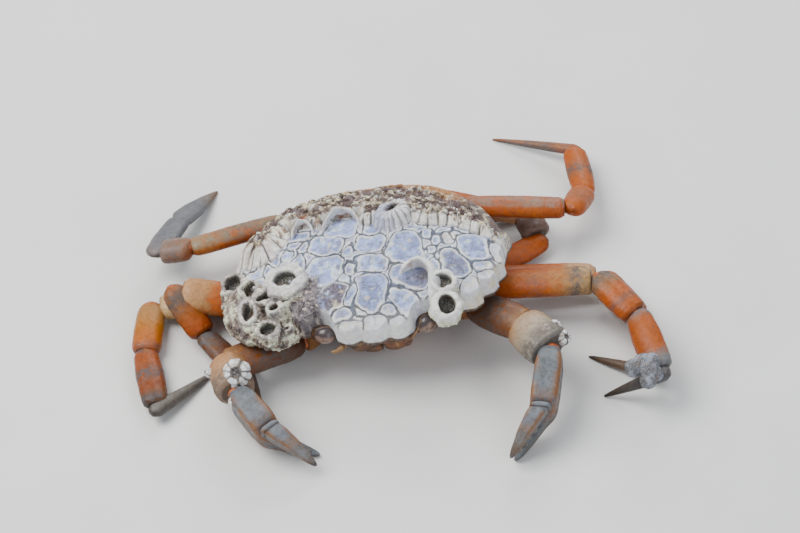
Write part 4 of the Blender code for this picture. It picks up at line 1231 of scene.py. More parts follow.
@dataclass
class Cup:
    """A standing barnacle: a ribbed cone with a deep mouth."""

    lip: tuple
    tall: float
    radius: float
    mouth: float
    squash: float = 0.75
    turn: float = 0.0
    floor: float = 0.1
    axis: tuple = (0.0, 0.0, 1.0)
    corner: float = 1.5
    shoulder: float = 0.0
    white: float = 0.3

    def place(self) -> Matrix:
        """Place of the barnacle's own frame, which starts in the middle of its foot.

        Returns:
            The place.
        """
        axis = Vector(self.axis).normalized()
        upright = axis.to_track_quat("Z", "Y").to_matrix().to_4x4()
        foot = Matrix.Translation(Vector(self.lip) - axis * self.tall)
        return foot @ upright @ Matrix.Rotation(math.radians(self.turn), 4, "Z")

    def mesh(self, sides: int, rings: int, ribs: int = 13, rib_depth: float = 0.05,
             seed: int = 0) -> tuple[bmesh.types.BMesh, np.ndarray, np.ndarray]:
        """Shape the cone.

        Args:
            sides: Number of sides.
            rings: Number of rings from the foot over the lip to the floor of the mouth.
            ribs: Number of ribs on the outside.
            rib_depth: Depth of the ribs as a share of the radius.
            seed: Choice among different patterns.

        Returns:
            The mesh, how far inside the mouth each vertex is, and the height of the ribs there.
        """
        bm, share, turn = tube(sides, rings)
        tall = self.tall
        rows = [
            (0.0, self.radius * 1.06, -1.2), (0.12, self.radius, -0.1 * tall),
            (0.3, self.radius * (0.84 + 0.08 * self.shoulder), (0.42 + 0.1 * self.shoulder) * tall),
            (0.46, self.radius * (0.55 + 0.2 * self.shoulder) + self.mouth * (0.62 - 0.34 * self.shoulder),
             0.84 * tall),
            (0.56, self.mouth * 1.36, 0.98 * tall), (0.62, self.mouth * 1.12, tall), (0.68, self.mouth, 0.92 * tall),
            (0.9, self.mouth * 0.8, self.floor * tall), (1.0, 0.05, (self.floor - 0.02) * tall),
        ]
        reach = along_rows(rows, share, 1, 0.015)
        up = along_rows(rows, share, 2, 0.015)
        outside = smooth_step(0.64, 0.5, share)
        wave = 0.5 + 0.5 * np.cos(turn * ribs + 1.7 * np.sin(2.0 * turn + seed))
        seams = np.exp(-((np.abs((turn * 3.0 / math.pi + seed * 0.37) % 1.0 - 0.5) - 0.5) / 0.07) ** 2)
        reach = reach * (1.0 + rib_depth * (wave - 0.5) * outside - 0.07 * seams * outside)
        inside = smooth_step(0.6, 0.74, share)
        flat = 1.0 - (1.0 - self.squash) * (0.45 + 0.55 * inside)
        power = 2.0 - (2.0 - self.corner) * inside
        c, s = np.cos(turn), np.sin(turn)
        corner = (np.abs(c) ** power + np.abs(s) ** power) ** (-1.0 / power)
        spots = np.stack([c * corner * reach, s * corner * reach * flat, up], axis=1)
        spots[:, :2] += 0.08 * self.radius * np.stack([lumps(spots, 1.6, seed), lumps(spots, 1.6, seed + 1)], axis=1)
        spots[:, 2] += 0.12 * tall * lumps(spots, 1.1, seed + 2) * smooth_step(0.3, 0.55, share)
        move_to(bm, spots)
        bmesh.ops.transform(bm, matrix=self.place(), verts=bm.verts[:])
        return bm, inside, wave * outside

    def measure(self, points: np.ndarray) -> tuple[np.ndarray, np.ndarray]:
        """How far from the axis, as a share of the mouth, and how high over the lip any place is.

        Args:
            points: Places, one row each.

        Returns:
            Both values for every place.
        """
        back = np.array(self.place().inverted())
        spots = points @ back[:3, :3].T + back[:3, 3]
        return np.hypot(spots[:, 0] / self.mouth, spots[:, 1] / (self.mouth * self.squash)), spots[:, 2] - self.tall

    def within(self, points: np.ndarray) -> np.ndarray:
        """How far inside the mouth any place is, from 0 to 1.

        Args:
            points: Places, one row each.

        Returns:
            The shares.
        """
        far, over = self.measure(points)
        above_foot = smooth_step(-self.tall - 2.0, -self.tall, over)
        return smooth_step(1.25, 0.95, far) * smooth_step(-0.1, -0.7, over) * above_foot

    def on_lip(self, points: np.ndarray) -> np.ndarray:
        """How near the lip any place is, from 0 to 1.

        Args:
            points: Places, one row each.

        Returns:
            The shares.
        """
        far, over = self.measure(points)
        return bell(far, 1.35, 0.32) * smooth_step(-1.6, -0.4, over) * smooth_step(1.6, 0.8, over)


@dataclass
class CupCluster:
    """Standing barnacles melted together into one gritty mass."""

    name: str
    cups: tuple
    mounds: tuple
    voxel: float = 0.2
    clean: float = 0.4
    seed: int = 0
    base: Colour = seen(182, 170, 158)
    bright: Colour = seen(220, 212, 204)

    def build(self) -> None:
        """Model and dress the mass."""
        parts = [cup.mesh(30, 28, 11, 0.08, self.seed + index)[0] for index, cup in enumerate(self.cups)]
        for x, y, z, a, b, c in self.mounds:
            mound = bmesh.new()
            bmesh.ops.create_icosphere(mound, subdivisions=3, radius=1.0)
            bmesh.ops.scale(mound, vec=(a, b, c), verts=mound.verts[:])
            bmesh.ops.translate(mound, vec=(x, y, z), verts=mound.verts[:])
            parts.append(mound)
        bm = fused(parts, self.voxel)
        bmesh.ops.smooth_vert(bm, verts=bm.verts[:], factor=0.5, use_axis_x=True, use_axis_y=True, use_axis_z=True)
        spots = spots_of(bm)
        inside = np.zeros(len(spots))
        rim = np.zeros(len(spots))
        for cup in self.cups:
            far, over = cup.measure(spots)
            bottom = -cup.tall * (1.0 - cup.floor)
            hollow = smooth_step(1.06, 0.9, far) * smooth_step(bottom - 1.5, bottom, over) * smooth_step(1.5, 0.5, over)
            drop = np.minimum(0.0, bottom - over) * hollow
            spots += np.outer(drop, np.array(Vector(cup.axis).normalized()))
            pit = smooth_step(1.02, 0.92, far) * smooth_step(0.0, -0.5, over)
            inside = np.maximum(inside, np.maximum(cup.within(spots), np.maximum(pit, smooth_step(0.3, 0.9, hollow))))
            collar = smooth_step(2.6, 1.9, far) * smooth_step(-2.6, -1.8, over) * max(0.0, cup.white - 0.5) * 1.7
            rim = np.maximum(rim, np.maximum(cup.on_lip(spots) * cup.white, collar))
        move_to(bm, spots)
        gritty = 1.0 - self.clean
        rough = layered(spots, 1.7, 4, self.seed + 3)
        crumbs = layered(spots, 0.8, 3, self.seed + 4)
        push = (0.66 * rough + 0.5 * gritty * crumbs) * (1.0 - 0.85 * inside) * (1.0 - 0.5 * np.minimum(rim, 1.0))
        move_to(bm, spots + normals_of(bm) * push[:, None])
        rim = np.minimum(rim, 1.0)
        worn = 1.0 - 0.8 * rim
        tint = blend(self.base, self.bright, smooth_step(-0.05, 0.35, rough + 0.4 * crumbs) * 0.85)
        tint = blend(tint, seen(120, 94, 74), smooth_step(0.08, -0.3, rough + 0.5 * crumbs) * gritty * worn)
        tint = blend(tint, seen(110, 96, 104), smooth_step(0.1, 0.45, layered(spots, 2.4, 3, self.seed + 9))
                     * 0.75 * gritty * worn)
        tint = blend(tint, seen(176, 140, 104), smooth_step(0.25, 0.5, layered(spots, 1.6, 3, self.seed + 12)) * 0.5)
        tint = blend(tint, seen(66, 58, 52), smooth_step(-0.25, -0.6, crumbs + 0.3 * rough) * gritty * worn)
        tint = blend(tint, seen(230, 219, 208), rim)
        deep = blend(seen(88, 83, 72), seen(112, 86, 66),
                     smooth_step(-0.1, 0.4, layered(spots, 3.0, 2, self.seed + 14)))
        tint = blend(tint, deep, inside)
        masks = {"grit": np.clip((0.8 - self.clean) * (1.0 - inside) * worn + 0.08, 0.0, 1.0)}
        finish_piece(self.name, bm, BODY_PLACE, ScarFinish(), Slot.SCARRED, (), masks, tint)


@dataclass
class Shards:
    """Broken barnacle walls that stand along the crest and over the rear.

    Each group holds the number at which it ends, its range across the shell, its range behind the feet of
    the walls and its size. A group without a range across stands in the gaps between large barnacles.
    """

    form: ShellForm = field(default_factory=ShellForm)
    groups: tuple = ((50, (9.0, 30.0), (1.2, 3.0), 0.6), (70, (-33.0, -19.0), (3.6, 5.4), 0.75),
                     (96, (), (0.9, 2.4), 0.6), (190, (-26.0, 24.0), (3.0, 13.0), 0.5))
    gaps: tuple = (-18.4, -14.0, -12.6, -11.0, -4.0, -2.4, -0.8, 1.0)

    def shard(self, x: float, y: float, foot: float, wide: float, deep: float, tall: float, turn: float,
              lean: float, seed: int) -> tuple[bmesh.types.BMesh, int]:
        """One tapered splinter, rooted in the shell.

        Args:
            x: Place across the shell.
            y: Place along the shell.
            foot: Height of its foot.
            wide: Width.
            deep: Thickness.
            tall: Height.
            turn: Turn in radians.
            lean: How far it leans, as a share of its height.
            seed: Choice among different patterns.

        Returns:
            The mesh and the number of its vertices.
        """
        bm = bmesh.new()
        bmesh.ops.create_cube(bm, size=1.0)
        bmesh.ops.subdivide_edges(bm, edges=bm.edges[:], cuts=3, use_grid_fill=True)
        spots = spots_of(bm)
        up = spots[:, 2] + 0.5
        pinch = 1.0 - 0.55 * up**1.5
        spots[:, 0] *= wide * pinch
        spots[:, 1] = spots[:, 1] * deep * (1.0 - 0.45 * up) + lean * up * up * tall
        spots[:, 0] += 0.2 * wide * math.sin(seed * 1.7) * up
        spots[:, 2] = up * (tall + 1.0) - 1.0
        spots += 0.15 * warped(spots, 0.6, seed)
        move_to(bm, spots)
        place = Matrix.Translation((x, y, foot)) @ Matrix.Rotation(turn, 4, "Z")
        bmesh.ops.transform(bm, matrix=place, verts=bm.verts[:])
        return bm, len(up)

    def build(self) -> None:
        """Model and dress all splinters."""
        draw = random.Random(21)
        walls = WallLine()
        parts = []
        ups = []
        for index in range(self.groups[-1][0]):
            across, behind, small = next(group[1:] for group in self.groups if index < group[0])
            x = draw.uniform(*across) if across else draw.choice(self.gaps) + draw.uniform(-0.5, 0.5)
            ahead = draw.uniform(*behind)
            y = float(np.interp(x, *zip(*walls.feet))) + ahead
            if abs(x) / 31.0 + max(0.0, y) / 34.0 > 1.0 or y > 21.5:
                continue
            share = min(1.0, ahead / float(np.interp(x, *zip(*walls.runs))))
            fall = 1.0 - 0.8 * float(smooth_step(2.0, 11.0, np.array([ahead]))[0])
            foot = self.form.ground(x, y) + 0.8 * float(np.interp(x, *zip(*walls.heights))) * share * fall - 0.2
            tall = draw.uniform(1.0, 2.0) * small
            turn = -math.radians(x * 1.1 + draw.uniform(-30.0, 30.0))
            bm, count = self.shard(x, y, foot, draw.uniform(0.9, 1.7) * small, draw.uniform(0.5, 0.9) * small, tall,
                                   turn, draw.uniform(0.0, 0.5), index)
            parts.append(bm)
            ups.append(np.full(count, draw.uniform(0.0, 1.0)))
        bm = joined(parts)
        shade = np.concatenate(ups)
        spots = spots_of(bm)
        tint = blend(seen(224, 218, 212), seen(198, 175, 152),
                     smooth_step(0.3, 0.9, shade))
        tint = blend(tint, seen(128, 106, 100), smooth_step(0.0, 0.4, layered(spots, 1.0, 3, 4)) * 0.75)
        masks = {"grit": np.full(len(spots), 0.35)}
        finish_piece("barnacle_walls", bm, BODY_PLACE, ScarFinish(), Slot.SCARRED, (), masks, tint)


@dataclass
class BrokenCup:
    """The half of a large barnacle that still arches over its base.

    Each stop of its path holds x, y, the height over the shell and half the thickness.
    """

    path: tuple = ((6.9, -13.3, 0.5, 0.4), (7.5, -12.2, 1.5, 0.6), (8.8, -10.9, 2.2, 0.85), (10.9, -10.2, 2.7, 1.05),
                   (13.1, -10.7, 2.8, 1.1), (14.5, -12.8, 2.6, 1.15), (15.0, -15.4, 2.3, 1.25), (14.4, -18.1, 2.0, 1.3),
                   (13.5, -20.3, 1.2, 0.8))
    lean: float = 0.75

    def mesh(self, ground: Callable[[float, float], float]) -> bmesh.types.BMesh:
        """Shape the arched wall as a closed mesh.

        Args:
            ground: Height of the bare back at a place.

        Returns:
            The mesh.
        """
        bm, share, turn = tube(28, 140)
        steps = np.linspace(0.0, 1.0, len(self.path))
        table = [(step, *row) for step, row in zip(steps, self.path)]
        x, y, rise, thick = (along_rows(table, share, column, 0.05) for column in (1, 2, 3, 4))
        onward = np.clip(share + 0.02, 0.0, 1.0)
        ahead_x, ahead_y = (along_rows(table, onward, k, 0.05) - along_rows(table, share - 0.02, k, 0.05)
                            for k in (1, 2))
        run = np.maximum(1e-6, np.hypot(ahead_x, ahead_y))
        ends = closed_ends(share, 10)
        rise = rise * (1.0 + 0.1 * np.sin(share * 19.0))
        c, s = np.cos(turn), np.sin(turn)
        out = np.sign(c) * np.abs(c) ** 0.8 * thick * ends
        up = (s * 0.5 + 0.5) * (rise * ends + 1.4) - 1.4
        out = out * (1.0 - 0.25 * np.clip(up / 2.4, 0.0, 1.0)) - self.lean * np.clip(up / 2.4, 0.0, 1.0) ** 1.4
        foot = np.array([ground(a, b) for a, b in zip(x, y)])
        spots = np.stack([x - out * ahead_y / run, y + out * ahead_x / run, foot + up], axis=1)
        move_to(bm, spots + 0.13 * warped(spots, 0.9, 60))
        return bm


@dataclass
class Barnacles:
    """All standing barnacles of the shell."""

    form: ShellForm
    broken: tuple = (
        BrokenCup(),
        BrokenCup(((-11.4, 2.6, 0.9, 0.35), (-11.2, 4.6, 2.0, 0.4), (-10.2, 6.8, 2.9, 0.42), (-8.2, 8.6, 3.4, 0.42),
                   (-5.6, 8.6, 3.4, 0.4), (-3.5, 6.8, 2.9, 0.4), (-2.7, 4.6, 2.0, 0.38), (-2.4, 2.8, 0.8, 0.35)), 0.5),
        BrokenCup(((-18.9, 3.0, 0.9, 0.35), (-18.7, 5.0, 2.2, 0.38), (-17.4, 7.2, 3.0, 0.38), (-15.4, 7.2, 3.0, 0.36),
                   (-14.0, 5.2, 2.2, 0.36), (-13.5, 3.4, 0.9, 0.35)), 0.4),
        BrokenCup(((3.9, 3.6, 1.5, 0.4), (4.0, 2.0, 1.2, 0.36), (4.2, 0.2, 0.8, 0.32), (4.25, -2.6, 0.35, 0.28)), 0.0),
    )

    def right_mass(self) -> CupCluster:
        """The fused mass over the right front margin.

        Returns:
            The mass.
        """
        cups = (
            Cup((-19.3, -11.1, 24.2), 4.0, 5.9, 2.45, 0.88, 14.0, 0.5, corner=1.4, shoulder=1.0, white=0.9),
            Cup((-23.9, -14.1, 22.5), 3.0, 3.5, 2.4, 0.5, 28.0, 0.2),
            Cup((-21.9, -17.7, 22.0), 3.3, 2.5, 1.2, 0.95, 20.0, 0.45, corner=1.9, white=0.6),
            Cup((-23.6, -21.7, 19.7), 2.9, 3.5, 1.95, 0.86, -14.0, 0.2, corner=1.4),
            Cup((-28.6, -16.2, 19.9), 3.6, 3.3, 2.75, 0.46, 98.0, 0.2, white=0.6),
            Cup((-33.6, -4.1, 17.5), 3.6, 4.0, 2.4, 0.7, 80.0, 0.3, corner=1.7),
            Cup((-28.4, -9.5, 20.5), 3.3, 3.4, 2.1, 0.66, 80.0, 0.2),
            Cup((-19.3, -15.5, 21.9), 2.3, 2.4, 1.3, 0.6, 60.0, 0.4),
            Cup((-32.2, -11.6, 17.0), 3.0, 2.6, 1.1, 0.7, 10.0, 0.35),
            Cup((-19.4, -21.2, 18.6), 2.2, 1.7, 0.75, 0.8, 0.0, 0.35),
            Cup((-26.4, -19.4, 19.6), 2.2, 1.6, 0.6, 0.8, 0.0, 0.35),
        )
        mounds = ((-26.0, -12.0, 15.4, 9.4, 10.2, 4.8), (-20.5, -12.5, 18.2, 5.6, 6.6, 3.0),
                  (-31.8, -5.6, 13.9, 5.2, 7.4, 3.2), (-22.0, -19.6, 15.4, 5.6, 4.6, 2.8))
        return CupCluster("barnacle_mass", cups, mounds, 0.2, 0.1, 2)

    def left_mass(self) -> CupCluster:
        """The clean white barnacles on the left front of the shell.

        Returns:
            The pair.
        """
        cups = (
            Cup((16.9, -16.9, 23.6), 3.0, 3.4, 2.1, 0.8, 112.0, 0.2, (0.1, -0.15, 0.98), 1.3, 0.2, 0.8),
            Cup((17.5, -22.7, 21.6), 3.4, 4.1, 2.25, 0.84, 80.0, 0.2, (0.2, -0.45, 0.86), 1.5, 0.5, 0.8),
        )
        mounds = ((16.6, -19.4, 18.9, 2.8, 3.0, 2.6), (16.3, -13.6, 20.8, 1.7, 1.5, 1.5))
        return CupCluster("barnacle_pair", cups, mounds, 0.17, 0.85, 5, seen(222, 213, 204), seen(234, 228, 222))

    def build(self) -> None:
        """Build every standing barnacle."""
        self.right_mass().build()
        self.left_mass().build()
        bm = joined([wall.mesh(self.form.ground) for wall in self.broken])
        spots = spots_of(bm)
        tint = blend(seen(240, 229, 218), seen(196, 168, 140),
                     smooth_step(0.1, 0.5, layered(spots, 1.6, 3, 9)) * 0.6)
        shade = smooth_step(3.4, 2.8, np.hypot(spots[:, 0] - 10.9, spots[:, 1] + 14.6))
        tint = blend(tint, seen(150, 140, 134), shade * 0.5)
        finish_piece("barnacle_half", bm, BODY_PLACE, ScarFinish(), Slot.SCARRED, (),
                     {"grit": np.full(len(spots), 0.12)}, tint)
        self.tall_cup()
        Shards(self.form).build()

    def tall_cup(self) -> None:
        """The tall ribbed barnacle in the middle of the crest."""
        foot = self.form.ground(5.4, 5.1) - 0.4
        cup = Cup((5.3, 5.2, 26.3), 26.3 - foot, 5.7, 1.5, 0.5, 8.0, 0.4, (-0.04, 0.1, 1.0))
        bm, inside, ribs = cup.mesh(168, 64, 17, 0.045, 4)
        spots = spots_of(bm)
        tint = blend(seen(184, 180, 178), seen(232, 228, 225), smooth_step(0.05, 0.5, ribs))
        shaded = smooth_step(1.5, -2.5, spots[:, 0] - 5.3 + 1.5 * lumps(spots, 1.6, 8))
        tint = blend(tint, seen(172, 180, 198), shaded * 0.6)
        tint = blend(tint, seen(84, 74, 66), inside)
        finish_piece("barnacle_tall", bm, BODY_PLACE, ScarFinish(), Slot.SCARRED, (),
                     {"grit": np.full(len(spots), 0.18)}, tint)


# The head and the underside


@dataclass
class Head:
    """Eyes, feelers and mouth plates."""

    eye: Vector = field(default_factory=lambda: Vector((11.5, -21.1, 14.5)))
    eye_radius: float = 2.0
    left_feeler: tuple = ((7.2, -21.4, 11.9, 1.6), (7.6, -22.6, 12.6, 1.5), (8.0, -23.8, 13.3, 1.1),
                          (8.8, -24.4, 14.4, 0.85), (9.8, -24.2, 15.8, 0.7), (10.6, -23.6, 17.2, 0.6),
                          (11.1, -22.9, 18.5, 0.5))
    right_feeler: tuple = ((7.2, -21.4, 11.9, 1.6), (7.6, -22.6, 12.2, 1.5), (8.2, -23.9, 12.4, 1.2),
                           (9.2, -24.8, 12.7, 0.9), (10.3, -25.3, 13.1, 0.6))

    def build(self) -> None:
        """Build both sides of the head."""
        for side, sign in (("left", 1.0), ("right", -1.0)):
            self.build_eye(side, sign)
            self.build_socket_shade(side, sign)
            self.build_feeler(side, sign, self.left_feeler if sign > 0.0 else self.right_feeler)
            self.build_plate(side, sign)
        self.build_face()

    def build_eye(self, side: str, sign: float) -> None:
        """Build an eye on its short stalk.

        Args:
            side: Side of the crab.
            sign: Direction of that side along x.
        """
        bm = bmesh.new()
        bmesh.ops.create_uvsphere(bm, u_segments=48, v_segments=32, radius=self.eye_radius)
        spots = spots_of(bm)
        low = (-0.6 * spots[:, 1] - 0.68 * spots[:, 2] + sign * 0.25 * spots[:, 0]) / self.eye_radius
        stalk = smooth_step(-0.12, 0.3, low + 0.22 * lumps(spots, 0.9, 3))
        spots[:, 0] *= 1.2
        spots[:, 1] *= 1.0 + 0.08 * stalk
        spots += np.array([sign * self.eye.x, self.eye.y, self.eye.z])
        move_to(bm, spots)
        finish_piece(f"eye_{side}_ball", bm, BODY_PLACE, EyeFinish(), Slot.EYE, (f"eye_{side}",), {"stalk": stalk})

    def build_socket_shade(self, side: str, sign: float) -> None:
        """Build the dark lining of the notch round an eye, a dark brown piece that stands for the shade in the notch:
        painted shade.

        Args:
            side: Side of the crab.
            sign: Direction of that side along x.
        """
        bm = bmesh.new()
        bmesh.ops.create_uvsphere(bm, u_segments=48, v_segments=24, radius=1.0)
        spots = spots_of(bm) * np.array([3.5, 2.4, 2.5])
        spots += 0.16 * warped(spots, 1.0, 30)
        move_to(bm, spots + np.array([sign * self.eye.x, self.eye.y + 1.3, self.eye.z - 0.4]))
        # Dark brown colour of the lining: painted shade of the notch round the eye.
        finish = PlainShellFinish("socket_shade_shell", seen(72, 52, 42), seen(120, 82, 56), 0.6, 0.4, 0.1)
        finish_piece(f"socket_{side}", bm, BODY_PLACE, finish, Slot.BROWN)

    def build_feeler(self, side: str, sign: float, feeler: tuple) -> None:
        """Build a ringed feeler.

        Args:
            side: Side of the crab.
            sign: Direction of that side along x.
            feeler: Middle and thickness of its stops.
        """
        bm, share, turn = tube(14, 90)
        run = np.array(feeler)
        steps = np.linspace(0.0, 1.0, len(run))
        centre = np.stack([np.interp(share, steps, run[:, axis]) for axis in range(3)], axis=1)
        thick = np.interp(share, steps, run[:, 3]) / 2.0 * (1.0 + 0.09 * np.sin(share * 2.0 * math.pi * 30.0))
        thick *= closed_ends(share, 12)
        centre[:, 0] += np.cos(turn) * thick * 0.6
        centre[:, 1] += np.cos(turn) * thick * 0.8
        centre[:, 2] += np.sin(turn) * thick
        centre[:, 0] *= sign
        move_to(bm, centre)
        finish_piece(f"antenna_{side}_ringed", bm, BODY_PLACE, FEELER, Slot.CREAM, (f"antenna_{side}",))

    def build_plate(self, side: str, sign: float) -> None:
        """Build an outer mouth plate of two segments.

        Args:
            side: Side of the crab.
            sign: Direction of that side along x.
        """
        bm = bmesh.new()
        bmesh.ops.create_cube(bm, size=1.0)
        bmesh.ops.subdivide_edges(bm, edges=bm.edges[:], cuts=15, use_grid_fill=True)
        spots = spots_of(bm)
        up = spots[:, 2] + 0.5
        z = 3.4 + up * 8.0
        outer = np.interp(up, (0.0, 0.25, 0.62, 1.0), (4.4, 6.3, 7.4, 6.6))
        inner = 0.45
        x = inner + (spots[:, 0] + 0.5) * (outer - inner)
        swell = 1.0 - (2.0 * spots[:, 0]) ** 2
        front = np.interp(up, (0.0, 0.25, 0.62, 1.0), (-17.3, -18.7, -20.0, -20.8)) - 0.6 * swell
        front += 0.4 * bell(up, 0.6, 0.03) + 0.25 * bell(x, 4.6, 0.3)
        move_to(bm, np.stack([sign * x, front + 4.0 * (spots[:, 1] + 0.5), z], axis=1))
        # Dark brown with orange mottles: the plate's colour darkened as painted shade under the front edge.
        finish = PlainShellFinish("mouth_shade_shell", seen(92, 62, 42), seen(164, 108, 62), 0.5)
        finish_piece(f"mouth_plate_{side}_shell", bm, BODY_PLACE, finish, Slot.CREAM, (f"mouth_plate_{side}",))

    def build_face(self) -> None:
        """Build the ledge between the mouth and the shell's front, dark brown with orange mottles as painted shadow
        under the front edge, and the small feelers on it.
        """
        bm, share, turn = tube(24, 80)
        x = (share - 0.5) * 34.0
        bulge = closed_ends(share, 6)
        reach = 2.3 + 0.35 * np.cos(x * 0.9) + 0.2 * np.cos(x * 2.1)
        y = -19.9 + 0.012 * x * x + np.cos(turn) * reach * bulge
        z = 12.4 + np.sin(turn) * 1.5 * bulge
        spots = np.stack([x, y, z], axis=1)
        move_to(bm, spots + 0.15 * warped(spots, 1.2, 5))
        # Dark brown with orange mottles: painted shadow under the front edge of the shell.
        finish = PlainShellFinish("face_shadow_shell", seen(52, 40, 32), seen(116, 68, 34), 0.3, 0.4, 0.12)
        finish_piece("face_ledge_shadow", bm, BODY_PLACE, finish, Slot.BROWN)
        parts = []
        for sign in (1.0, -1.0):
            bm, share, turn = tube(12, 30)
            centre = np.stack([sign * (3.4 + 1.3 * share), -23.0 - 1.3 * share,
                               12.6 + 1.0 * share - 2.2 * share**3], axis=1)
            thick = 0.62 * (1.0 - 0.55 * share) * closed_ends(share, 10)
            centre[:, 0] += np.cos(turn) * thick
            centre[:, 2] += np.sin(turn) * thick
            centre[:, 1] += np.sin(turn) * thick * 0.3
            move_to(bm, centre)
            parts.append(bm)
        finish_piece("antennules", joined(parts), BODY_PLACE, FEELER, Slot.CREAM)


@dataclass
class Underside:
    """The body under the shell and its folded tail flap."""

    levels: tuple = ((9.5, -12.5, 12.5, 1.8), (13.5, -15.0, 14.6, 3.4), (16.5, -17.2, 16.6, 6.4),
                     (22.0, -19.2, 18.0, 9.2), (27.0, -20.4, 19.6, 11.9))
    flap: tuple = ((20.6, 11.0, 8.5), (20.9, 8.6, 8.3), (19.8, 5.6, 8.0), (17.4, 3.0, 7.3), (13.6, 1.3, 6.4),
                   (9.0, 0.85, 5.2), (3.5, 0.85, 3.9), (-1.5, 0.85, 2.8), (-5.5, 0.9, 1.3))

    def build(self) -> None:
        """Build the body and the flap."""
        bm, share, turn = tube(120, 60)
        table = np.array(self.levels)
        steps = (0.0, 0.2, 0.45, 0.72, 1.0)
        half, front, rear, height = (along_rows(list(zip(steps, table[:, k])), share, 1, 0.05) for k in range(4))
        c, s = np.cos(turn), np.sin(turn)
        x = half * np.sign(c) * np.abs(c) ** 0.8
        y = (front + rear) / 2.0 + (rear - front) / 2.0 * np.sign(s) * np.abs(s) ** 0.8
        spots = np.stack([x, y, height], axis=1)
        low = smooth_step(0.62, 0.2, share)
        furrow = np.zeros(len(x))
        for spot in (-9.0, -3.0, 3.0, 9.0):
            furrow += bell(y - 0.25 * np.abs(x), spot, 0.5)
        spots[:, :2] *= (1.0 - 0.025 * furrow * low)[:, None]
        spots += 0.12 * warped(spots, 2.2, 40)
        move_to(bm, spots)
        finish = PlainShellFinish("body_shell", seen(150, 88, 48), seen(208, 158, 104), 0.22)
        finish_piece("thorax_shell", bm, BODY_PLACE, finish, Slot.BROWN, ("thorax",))

        bm, share, turn = tube(40, 120)
        run = np.array(self.flap)
        steps = np.linspace(0.0, 1.0, len(run))
        y, z, half = (along_rows(list(zip(steps, run[:, k])), share, 1, 0.03) for k in range(3))
        joint = np.abs(np.sin(share * math.pi * 7.0)) ** 0.35
        ends = closed_ends(share, 16)
        x = np.cos(turn) * half * (0.97 + 0.03 * joint) * ends
        out = np.sin(turn) * (0.55 + 0.25 * joint) * ends
        tilt = smooth_step(0.45, 0.1, share)
        spots = np.stack([x, y + 0.3 * tilt + out * tilt * 0.9, z + 0.2 - out * (1.0 - 0.6 * tilt)], axis=1)
        move_to(bm, spots)
        finish = PlainShellFinish("flap_shell", seen(206, 168, 120), seen(172, 112, 66), 0.3)
        finish_piece("abdomen_flap", bm, BODY_PLACE, finish, Slot.CREAM, ("abdomen",))


# Limbs


HIP = [(0.0, 0.86, 0.86), (0.3, 1.0, 1.0), (0.55, 0.94, 0.95), (0.85, 1.0, 1.0), (0.96, 0.95, 0.95), (1.0, 0.72, 0.72)]
MERUS = [(0.0, 0.1, 0.1), (0.02, 0.4, 0.42), (0.05, 0.66, 0.7), (0.12, 0.86, 0.88), (0.3, 0.97, 0.97), (0.65, 1.0, 1.0),
         (0.9, 0.97, 0.98), (0.95, 0.94, 0.95), (0.985, 0.82, 0.84), (1.0, 0.6, 0.62)]
CARPUS = [(0.0, 0.1, 0.1), (0.025, 0.42, 0.42), (0.07, 0.68, 0.7), (0.14, 0.86, 0.88), (0.25, 0.95, 0.96),
          (0.55, 1.0, 1.0), (0.86, 1.0, 0.99), (0.95, 0.93, 0.94), (0.985, 0.8, 0.82), (1.0, 0.58, 0.6)]
PROPODUS = [(0.0, 0.1, 0.1), (0.02, 0.42, 0.42), (0.06, 0.7, 0.72), (0.12, 0.86, 0.88), (0.45, 1.0, 1.0),
            (0.9, 0.93, 0.94), (0.96, 0.87, 0.88), (0.99, 0.7, 0.72), (1.0, 0.5, 0.52)]
DACTYL = [(0.0, 0.5, 0.5), (0.06, 0.95, 0.98), (0.35, 0.84, 0.86), (0.7, 0.52, 0.56), (0.93, 0.27, 0.32),
          (1.0, 0.12, 0.16)]
BLADE = [(0.0, 0.5, 0.7), (0.12, 1.0, 1.0), (0.4, 0.95, 0.86), (0.75, 0.56, 0.66), (0.94, 0.24, 0.45), (1.0, 0.1, 0.3)]


